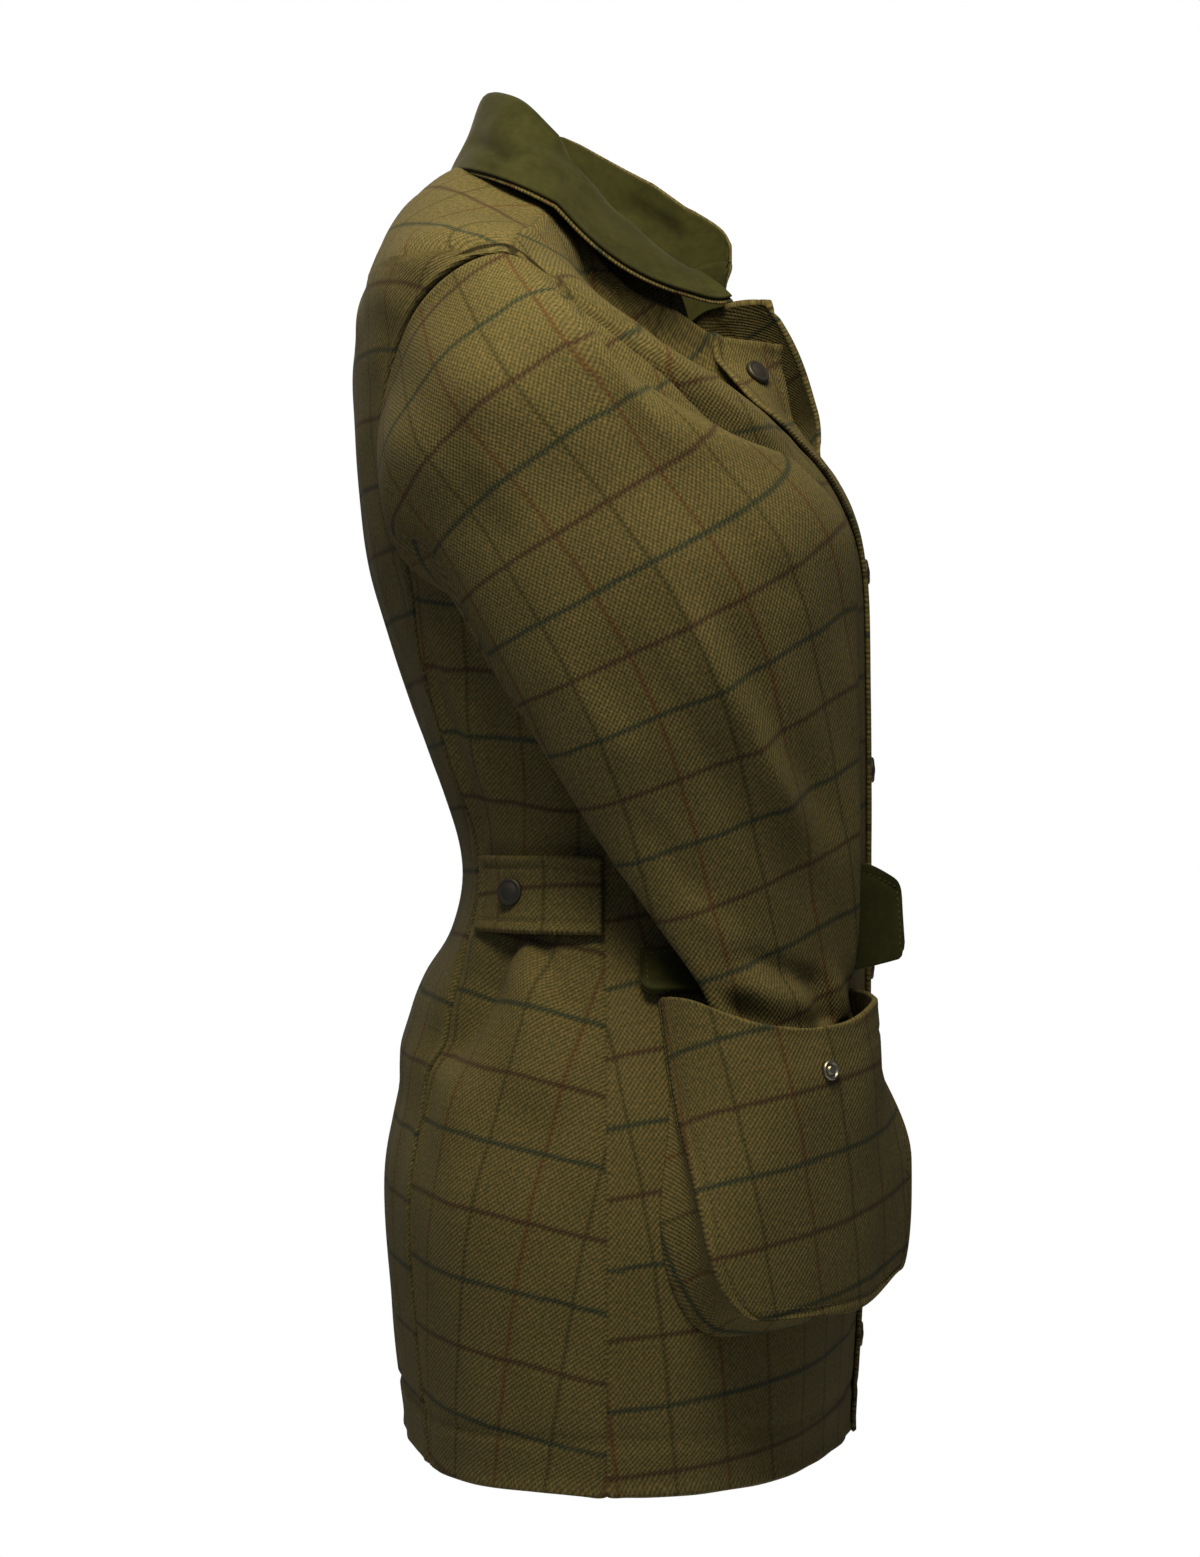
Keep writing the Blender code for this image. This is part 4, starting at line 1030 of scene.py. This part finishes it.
GUSSET_SPREAD, SPREAD_STARTS, SPREAD_FULL, SPREAD_FRONT = 14.0, 0.25, 0.75, 0.5
POCKET_WARP = ((-108, -537), (-114, -594))
POCKET_LENGTH, POCKET_WIDTH = 170, 160
pocket_down = shares(POCKET_LENGTH, 3.2)[:, None]
to_front = shares(POCKET_WIDTH, 3.2)[None, :]
pocket_across = 2 * to_front - 1
corner_run = np.clip((pocket_down - (1 - POCKET_CORNER)) / POCKET_CORNER, 0, 1)
corner_pull = CORNER_PULL * (1 - np.sqrt(1 - corner_run ** 2))
pocket_middle = (POCKET_BACK_ANGLE + POCKET_FRONT_ANGLE) / 2
pocket_half = (POCKET_FRONT_ANGLE - POCKET_BACK_ANGLE) / 2
face_angle = pocket_middle + pocket_half * pocket_across * (1 - corner_pull)
face_angle = face_angle + POCKET_LEAN * pocket_down * (1 - pocket_across) / 2
mouth_sag = spline_rows(MOUTH_SAG, to_front * (len(MOUTH_SAG) - 1))[..., 0]
mouth_sag = mouth_sag * (1 - ease(0.0, SAG_ENDS, pocket_down))
face_z = between(POCKET_TOP_Z, POCKET_BOTTOM_Z, pocket_down) - mouth_sag
face_z = face_z + BOTTOM_RISE * pocket_down ** 2 * ease(0.0, 1.0, pocket_across)
mouth_power = np.where(pocket_across < 0, MOUTH_BACK_POWER, MOUTH_FRONT_POWER)
mouth_height = between(POCKET_EDGE, POCKET_MOUTH, 1 - np.abs(pocket_across) ** mouth_power)
mouth_starts = between(MOUTH_BACK_STARTS, MOUTH_FRONT_STARTS, to_front)
mouth_ends = between(MOUTH_BACK_ENDS, MOUTH_FRONT_ENDS, to_front)
face_height = between(mouth_height, POCKET_DEPTH, ease(mouth_starts, mouth_ends, pocket_down))
face_level = level_at(face_angle, face_z)
face_inner = front(face_angle, face_level, face_height)
width, fall = runs(face_inner, 1), runs(face_inner, 0)
edge = np.minimum(from_sides(width), fall[-1:] - fall)

low, far = face_angle.shape[0] - 1, face_angle.shape[1] - 1
rim = [(row, 0) for row in range(low + 1)] + [(low, column) for column in range(1, far)]
rim_rows, rim_columns = np.array(rim + [(row, far) for row in range(low, -1, -1)]).T
rim_angle, rim_z = face_angle[rim_rows, rim_columns], face_z[rim_rows, rim_columns]
rim_height = face_height[rim_rows, rim_columns]
rim_place = np.stack((np.radians(rim_angle) * BODY_RADIUS, rim_z), axis=1)
rim_length = runs(rim_place, 0)
rim_run, rim_fall = [np.interp(rim_length + 8, rim_length, rim_place[:, axis])
                     - np.interp(rim_length - 8, rim_length, rim_place[:, axis]) for axis in range(2)]
rim_step = np.hypot(rim_run, rim_fall)
rim_down = (POCKET_TOP_Z - rim_z) / (POCKET_TOP_Z - POCKET_BOTTOM_Z)
rim_spread = GUSSET_SPREAD * ease(SPREAD_STARTS, SPREAD_FULL, rim_down)
rim_spread = rim_spread * (1 - ease(SPREAD_FRONT, 1.0, to_front[0, rim_columns]))
gusset_lines = []
for depth_share, tuck in GUSSET:
    height = between(LAID_ON + SEAM, rim_height - 2 * SEAM, depth_share)
    beyond = rim_spread * (1 - depth_share) - tuck * rim_height / POCKET_DEPTH
    angle = rim_angle + np.degrees(beyond * rim_fall / rim_step / BODY_RADIUS)
    z = rim_z - beyond * rim_run / rim_step
    gusset_lines.append(front(angle, level_at(angle, z), height))
gusset_grid = smooth_grid(gusset_lines, np.linspace(0, len(GUSSET) - 1, 14))
gusset_out = way_out(gusset_grid)
for side, seed in (("R", 25), ("L", 26)):
    relief = ripple(width, fall, seed, 0.8) * ease(0, CALM, edge) + turned_edge(edge, 5.4)
    relief = relief + turned_edge(fall, 16.0)
    outer = on_side(front(face_angle, face_level, face_height + WALL + relief), side)
    inner = on_side(face_inner, side)
    weave = laid(inner, POCKET_WARP, CHECK_WIDTH / 2)
    face = cloth("pocket_cloth_" + side, "pocket_face_" + side, "tweed", outer, inner, weave)
    sewing = stitches("pocket_stitches_" + side, outer, inner, (
        np.s_[:-STITCH_LINE, STITCH_LINE - 1], np.s_[:-STITCH_LINE, -STITCH_LINE],
        np.s_[-STITCH_LINE, STITCH_LINE:-STITCH_LINE]))
    inner = on_side(gusset_grid, side)
    outer = on_side(gusset_grid + gusset_out * THIN_WALL, side)
    weave = laid_straight(inner)
    gusset = cloth("pocket_gusset_cloth_" + side, "pocket_gusset_" + side, "tweed", outer, inner, weave)

# Pocket flaps: tweed outside and moleskin inside, bagged out and topstitched.  They are turned up above
# the pocket mouths with the moleskin showing, and their front ends stand off the front.
FLAP_COLUMNS = ("angle", "root_z", "top_z", "stand_off")
FLAP = (
    (97, -451, -431, 0),
    (111, -450, -422, 0),
    (125, -448, -398, 0),
    (138, -445, -382, 1),
    (146, -441, -383, 14),
    (152, -437, -394, 26),
)
FACET_ROOM = 1.0
FLAP_LENGTH, FLAP_WIDTH, FLAP_CORNER = 170.0, 58, 9.0
flap_share = shares(FLAP_LENGTH, 3.2)[None, :]
flap_lines = spline_rows(FLAP, (len(FLAP) - 1) * flap_share)
flap_lines = dict(zip(FLAP_COLUMNS, np.moveaxis(flap_lines, -1, 0)))
flap_up = 1 - shares(FLAP_WIDTH, 3.0)[:, None]
flap_run = FLAP_LENGTH * flap_share
near_end = np.clip(1 - np.minimum(flap_run, FLAP_LENGTH - flap_run) / FLAP_CORNER, 0, 1)
corner_cut = FLAP_CORNER * (1 - np.sqrt(1 - near_end ** 2))
flap_root = flap_lines["root_z"] + corner_cut * 0.9
flap_top = flap_lines["top_z"] - corner_cut * ease(60, 120, flap_run)
flap_z = between(flap_root, flap_top, flap_up)
flap_height = LAID_ON + FACET_ROOM + np.maximum(flap_lines["stand_off"], 0)
flap_angle, flap_z = spread(flap_lines["angle"], flap_z)
flap_level = level_at(flap_angle, flap_z)
flap_inner = front(flap_angle, flap_level, flap_height)
width, fall = runs(flap_inner, 1), runs(flap_inner, 0)
edge = np.minimum(from_sides(width), fall)
lining_height = flap_height + WALL + 2 * SEAM
for side, seed in (("R", 31), ("L", 32)):
    inner = on_side(flap_inner, side)
    outer = on_side(front(flap_angle, flap_level, flap_height + WALL), side)
    weave = laid_straight(inner)
    flap = cloth("flap_tweed_" + side, "pocket_flap_" + side, "tweed", outer, inner, weave)
    relief = 0.7 * ripple(width, fall, seed, 0.6) * ease(0, 10, edge) + 0.7 * turned_edge(edge, 5.4)
    rolled = np.minimum(width, fall[-1:] - fall)
    relief = relief + 2.6 * swell(rolled, 2.6) * (1 - ease(40, 60, width))
    inner = on_side(front(flap_angle, flap_level, lining_height), side)
    outer = on_side(front(flap_angle, flap_level, lining_height + THIN_WALL + relief), side)
    lining = cloth("flap_moleskin_" + side, "pocket_flap_lining_" + side, "moleskin", outer, inner, weave)
    sewing = stitches("flap_stitches_" + side, outer, inner, (
        np.s_[STITCH_LINE - 1:, STITCH_LINE - 1], np.s_[STITCH_LINE - 1, STITCH_LINE:-STITCH_LINE],
        np.s_[STITCH_LINE - 1:, -STITCH_LINE]))

# Waist tabs: short double strips of tweed caught in the side seams and drawn back across the side back,
# where a press stud holds them.  Their edges are topstitched.
TAB_TIP_ANGLE, TAB_ROOT_ANGLE = 61.5, 90.0
TAB_TOP_Z, TAB_BOTTOM_Z = -378.0, -420.0
TAB_LENGTH, TAB_WIDTH, TAB_THICK, TAB_ROOM = 70, 42, 3.0, 2.5
TAB_WARP = ((29, -392), (30, -412))
tab_angle, tab_z = spread(between(TAB_TIP_ANGLE, TAB_ROOT_ANGLE, shares(TAB_LENGTH, 3.0)[None, :]),
                          between(TAB_TOP_Z, TAB_BOTTOM_Z, shares(TAB_WIDTH, 3.0)[:, None]))
tab_level = level_at(tab_angle, tab_z)
tab_inner = body(tab_angle, tab_level, LAID_ON + TAB_ROOM)
width, fall = runs(tab_inner, 1), runs(tab_inner, 0)
edge = np.minimum(np.minimum(width, fall), fall[-1:] - fall)
for side, seed in (("R", 35), ("L", 36)):
    relief = ripple(width, fall, seed, 0.4) * ease(0, 10, edge) + turned_edge(edge, 5.4)
    inner = on_side(tab_inner, side)
    outer = on_side(body(tab_angle, tab_level, LAID_ON + TAB_ROOM + TAB_THICK + relief), side)
    weave = laid(inner, TAB_WARP, up=0.0)
    tab = cloth("waist_tab_cloth_" + side, "waist_tab_" + side, "tweed", outer, inner, weave)
    sewing = stitches("tab_stitches_" + side, outer, inner, (
        np.s_[STITCH_LINE - 1, 2:-2], np.s_[-STITCH_LINE, 2:-2]))

# Press studs: black lacquered brass caps on the placket, the left front's neck corner and the tabs, and
# a bare nickel stud on each pocket face.  Each is riveted through the cloth.
PLACKET_STUDS_Z = (-104, -215, -330, -445, -560, -660)
NECK_STUD_ROOM, TAB_STUD_ROOM = 0.9, 1.8
TAB_STUD_Y, TAB_STUD_Z, TAB_STUD_TILT = 42.0, -398.0, (-0.7, 0.0, 0.0)
# Radius and height of each form, and its turned outline as shares of them, from the foot to the middle
RING_HEIGHT = 2.4
CAP = (7.5, 2.6, ((1.0, -0.45), (1.0, 0.35), (0.95, 0.6), (0.86, 0.72), (0.76, 0.7), (0.70, 0.62),
                  (0.62, 0.7), (0.4, 0.88), (0.2, 0.97)))
RING = (5.5, RING_HEIGHT, ((1.0, -0.45), (1.0, 0.5), (0.93, 0.82), (0.82, 0.9), (0.72, 0.78), (0.66, 0.4),
                           (0.46, 0.36), (0.42, 0.9), (0.34, 1.0), (0.16, 1.0)))


def metal_material(name, dull, bright, metallic, roughness):
    """Press stud metal, rubbed brighter in places."""
    shade = Shader(name)
    place = shade.node("ShaderNodeTexCoord", {}).outputs["Object"]
    wear = shade.noise(place, 260.0, 4.0, 0.6)
    shade.feed("Base Color", shade.mix(wear, dull, bright))
    scratch = shade.noise(place, 1400.0, 3.0)
    shade.feed("Roughness", shade.scaled(scratch, 0.25, roughness))
    shade.surface.inputs["Metallic"].default_value = metallic
    return shade.material


finishes = {
    "black_snap": metal_material("black_lacquer", (0.006, 0.006, 0.007, 1), (0.020, 0.019, 0.018, 1),
                                 metallic=0.0, roughness=0.38),
    "steel_snap": metal_material("nickel", (0.16, 0.155, 0.14, 1), (0.36, 0.35, 0.32, 1),
                                 metallic=1.0, roughness=0.26),
}


def stud(name, node, slot, place, normal, form):
    """A turned press stud standing on the cloth, its foot set into it."""
    radius, height, profile = form
    sides = 40
    turn = np.arange(sides) * 2 * math.pi / sides
    normal = unit(normal)
    across = unit(np.cross(normal, up))
    round_way = np.cos(turn)[:, None] * across + np.sin(turn)[:, None] * np.cross(normal, across)
    points = [place + round_way * radius * wide + normal * height * high for wide, high in profile]
    points.append((place + normal * height * profile[-1][1])[None, :])
    faces = tube_faces(0, len(profile), sides)
    last = (len(profile) - 1) * sides
    faces += [(last + corner, last + (corner + 1) % sides, len(profile) * sides) for corner in range(sides)]
    faces.append(tuple(reversed(range(sides))))
    return made(name, points, faces, finishes[slot], slot, node)


def stud_on_front(z, from_edge, out, right=True):
    """Place and direction of a stud a few degrees back from a front's edge."""
    level = np.array(5.0)
    for _ in range(8):
        angle = front_edge_angle(level) - from_edge
        level = level_at(angle, z)
    down = front(angle, level + 0.1, out, right) - front(angle, level - 0.1, out, right)
    around = front(angle + 1, level, out, right) - front(angle - 1, level, out, right)
    return front(angle, level, out, right), np.cross(down, around)


for number, stud_z in enumerate(PLACKET_STUDS_Z, 1):
    stud_room = NECK_STUD_ROOM if number == 1 else SEAM
    place, normal = stud_on_front(stud_z, PLACKET_SPAN / 2, LAID_ON + WALL + stud_room)
    stud("placket_cap_%d" % number, "placket_stud_%d" % number, "black_snap", place, normal, CAP)
place, normal = stud_on_front(PLACKET_STUDS_Z[0], PLACKET_SPAN / 2, WALL + NECK_STUD_ROOM, right=False)
stud("neck_socket", "neck_stud_L", "black_snap", place * MIRROR, normal * MIRROR, RING)
tab_stud = side_place(TAB_STUD_Y, TAB_STUD_Z)
tab_place = body(*tab_stud, LAID_ON + TAB_ROOM + TAB_THICK + TAB_STUD_ROOM)
tab_normal = outward(*tab_stud) + np.array(TAB_STUD_TILT)
for side, turn_over in (("R", np.ones(3)), ("L", MIRROR)):
    stud("tab_cap_" + side, "tab_stud_" + side, "black_snap", tab_place * turn_over, tab_normal * turn_over,
         CAP)
    low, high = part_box("pocket_stud_" + side)
    place = np.array((low + high) / 2) / MM
    face = on_side(face_inner, side)
    spot = np.unravel_index(np.argmin(np.linalg.norm(face - place, axis=2)), face.shape[:2])
    normal = way_out(face)[spot]
    foot = place - normal * RING_HEIGHT / 2
    stud("pocket_socket_" + side, "pocket_stud_" + side, "steel_snap", foot, normal, RING)

# Studio: the camera stands level with the waist on the jacket's right, a warm soft light hangs above the
# right shoulder, wider ones fill from the camera's side and the left, and the floor is plain and pale.
FOCAL_PIXELS, FRAME_PIXELS = 3230, 1557
scene = bpy.context.scene
camera_data = bpy.data.cameras.new("camera")
camera_data.lens = FOCAL_PIXELS / FRAME_PIXELS * camera_data.sensor_width
camera = bpy.data.objects.new("camera", camera_data)
camera.location = (-1.9, 0, -0.335)
camera.rotation_euler = (math.radians(90), 0, math.radians(-90))
scene.collection.objects.link(camera)
scene.camera = camera
for name, location, target, size, energy, colour in (
        ("key_light", (-0.7, 0.03, 0.7), (0, 0, -0.25), 0.6, 26, (1.0, 0.84, 0.48)),
        ("fill_light", (-2.6, 0.6, 0.2), (0, 0, -0.4), 1.6, 2, (1.0, 0.98, 0.95)),
        ("left_light", (1.5, 0.3, 0.5), (0.1, 0, -0.3), 1.2, 16, (1.0, 0.92, 0.78))):
    light_data = bpy.data.lights.new(name, "AREA")
    light_data.size = size
    light_data.energy = energy
    light_data.color = colour
    light = bpy.data.objects.new(name, light_data)
    light.location = location
    way = np.array(location) - np.array(target)
    turn = math.atan2(way[1], way[0]) + math.pi / 2
    light.rotation_euler = (math.acos(way[2] / np.linalg.norm(way)), 0, turn)
    scene.collection.objects.link(light)
world = bpy.data.worlds.new("studio")
world.use_nodes = True
nodes, links = world.node_tree.nodes, world.node_tree.links
paper, room = nodes["Background"], nodes.new("ShaderNodeBackground")
paper.inputs["Color"].default_value = (1, 1, 1, 1)
paper.inputs["Strength"].default_value = 1.0
room.inputs["Color"].default_value = (0.96, 1.0, 1.04, 1)
room.inputs["Strength"].default_value = 0.12
seen, either = nodes.new("ShaderNodeLightPath"), nodes.new("ShaderNodeMixShader")
links.new(seen.outputs["Is Camera Ray"], either.inputs[0])
links.new(room.outputs[0], either.inputs[1])
links.new(paper.outputs[0], either.inputs[2])
links.new(either.outputs[0], nodes["World Output"].inputs["Surface"])
scene.world = world
scene.view_settings.view_transform = "Standard"
bpy.ops.mesh.primitive_circle_add(vertices=96, radius=1.1, fill_type="NGON", location=(0, 0, -1.1))
floor = bpy.context.object
floor.name = "floor"
floor_paint = Shader("floor")
floor_tone = floor_paint.noise(floor_paint.node("ShaderNodeTexCoord", {}).outputs["Object"], 1.5)
floor_paint.feed("Base Color", floor_paint.mix(floor_tone, (0.86, 0.86, 0.86, 1), (0.90, 0.90, 0.90, 1)))
floor_paint.surface.inputs["Roughness"].default_value = 0.9
floor.data.materials.append(floor_paint.material)
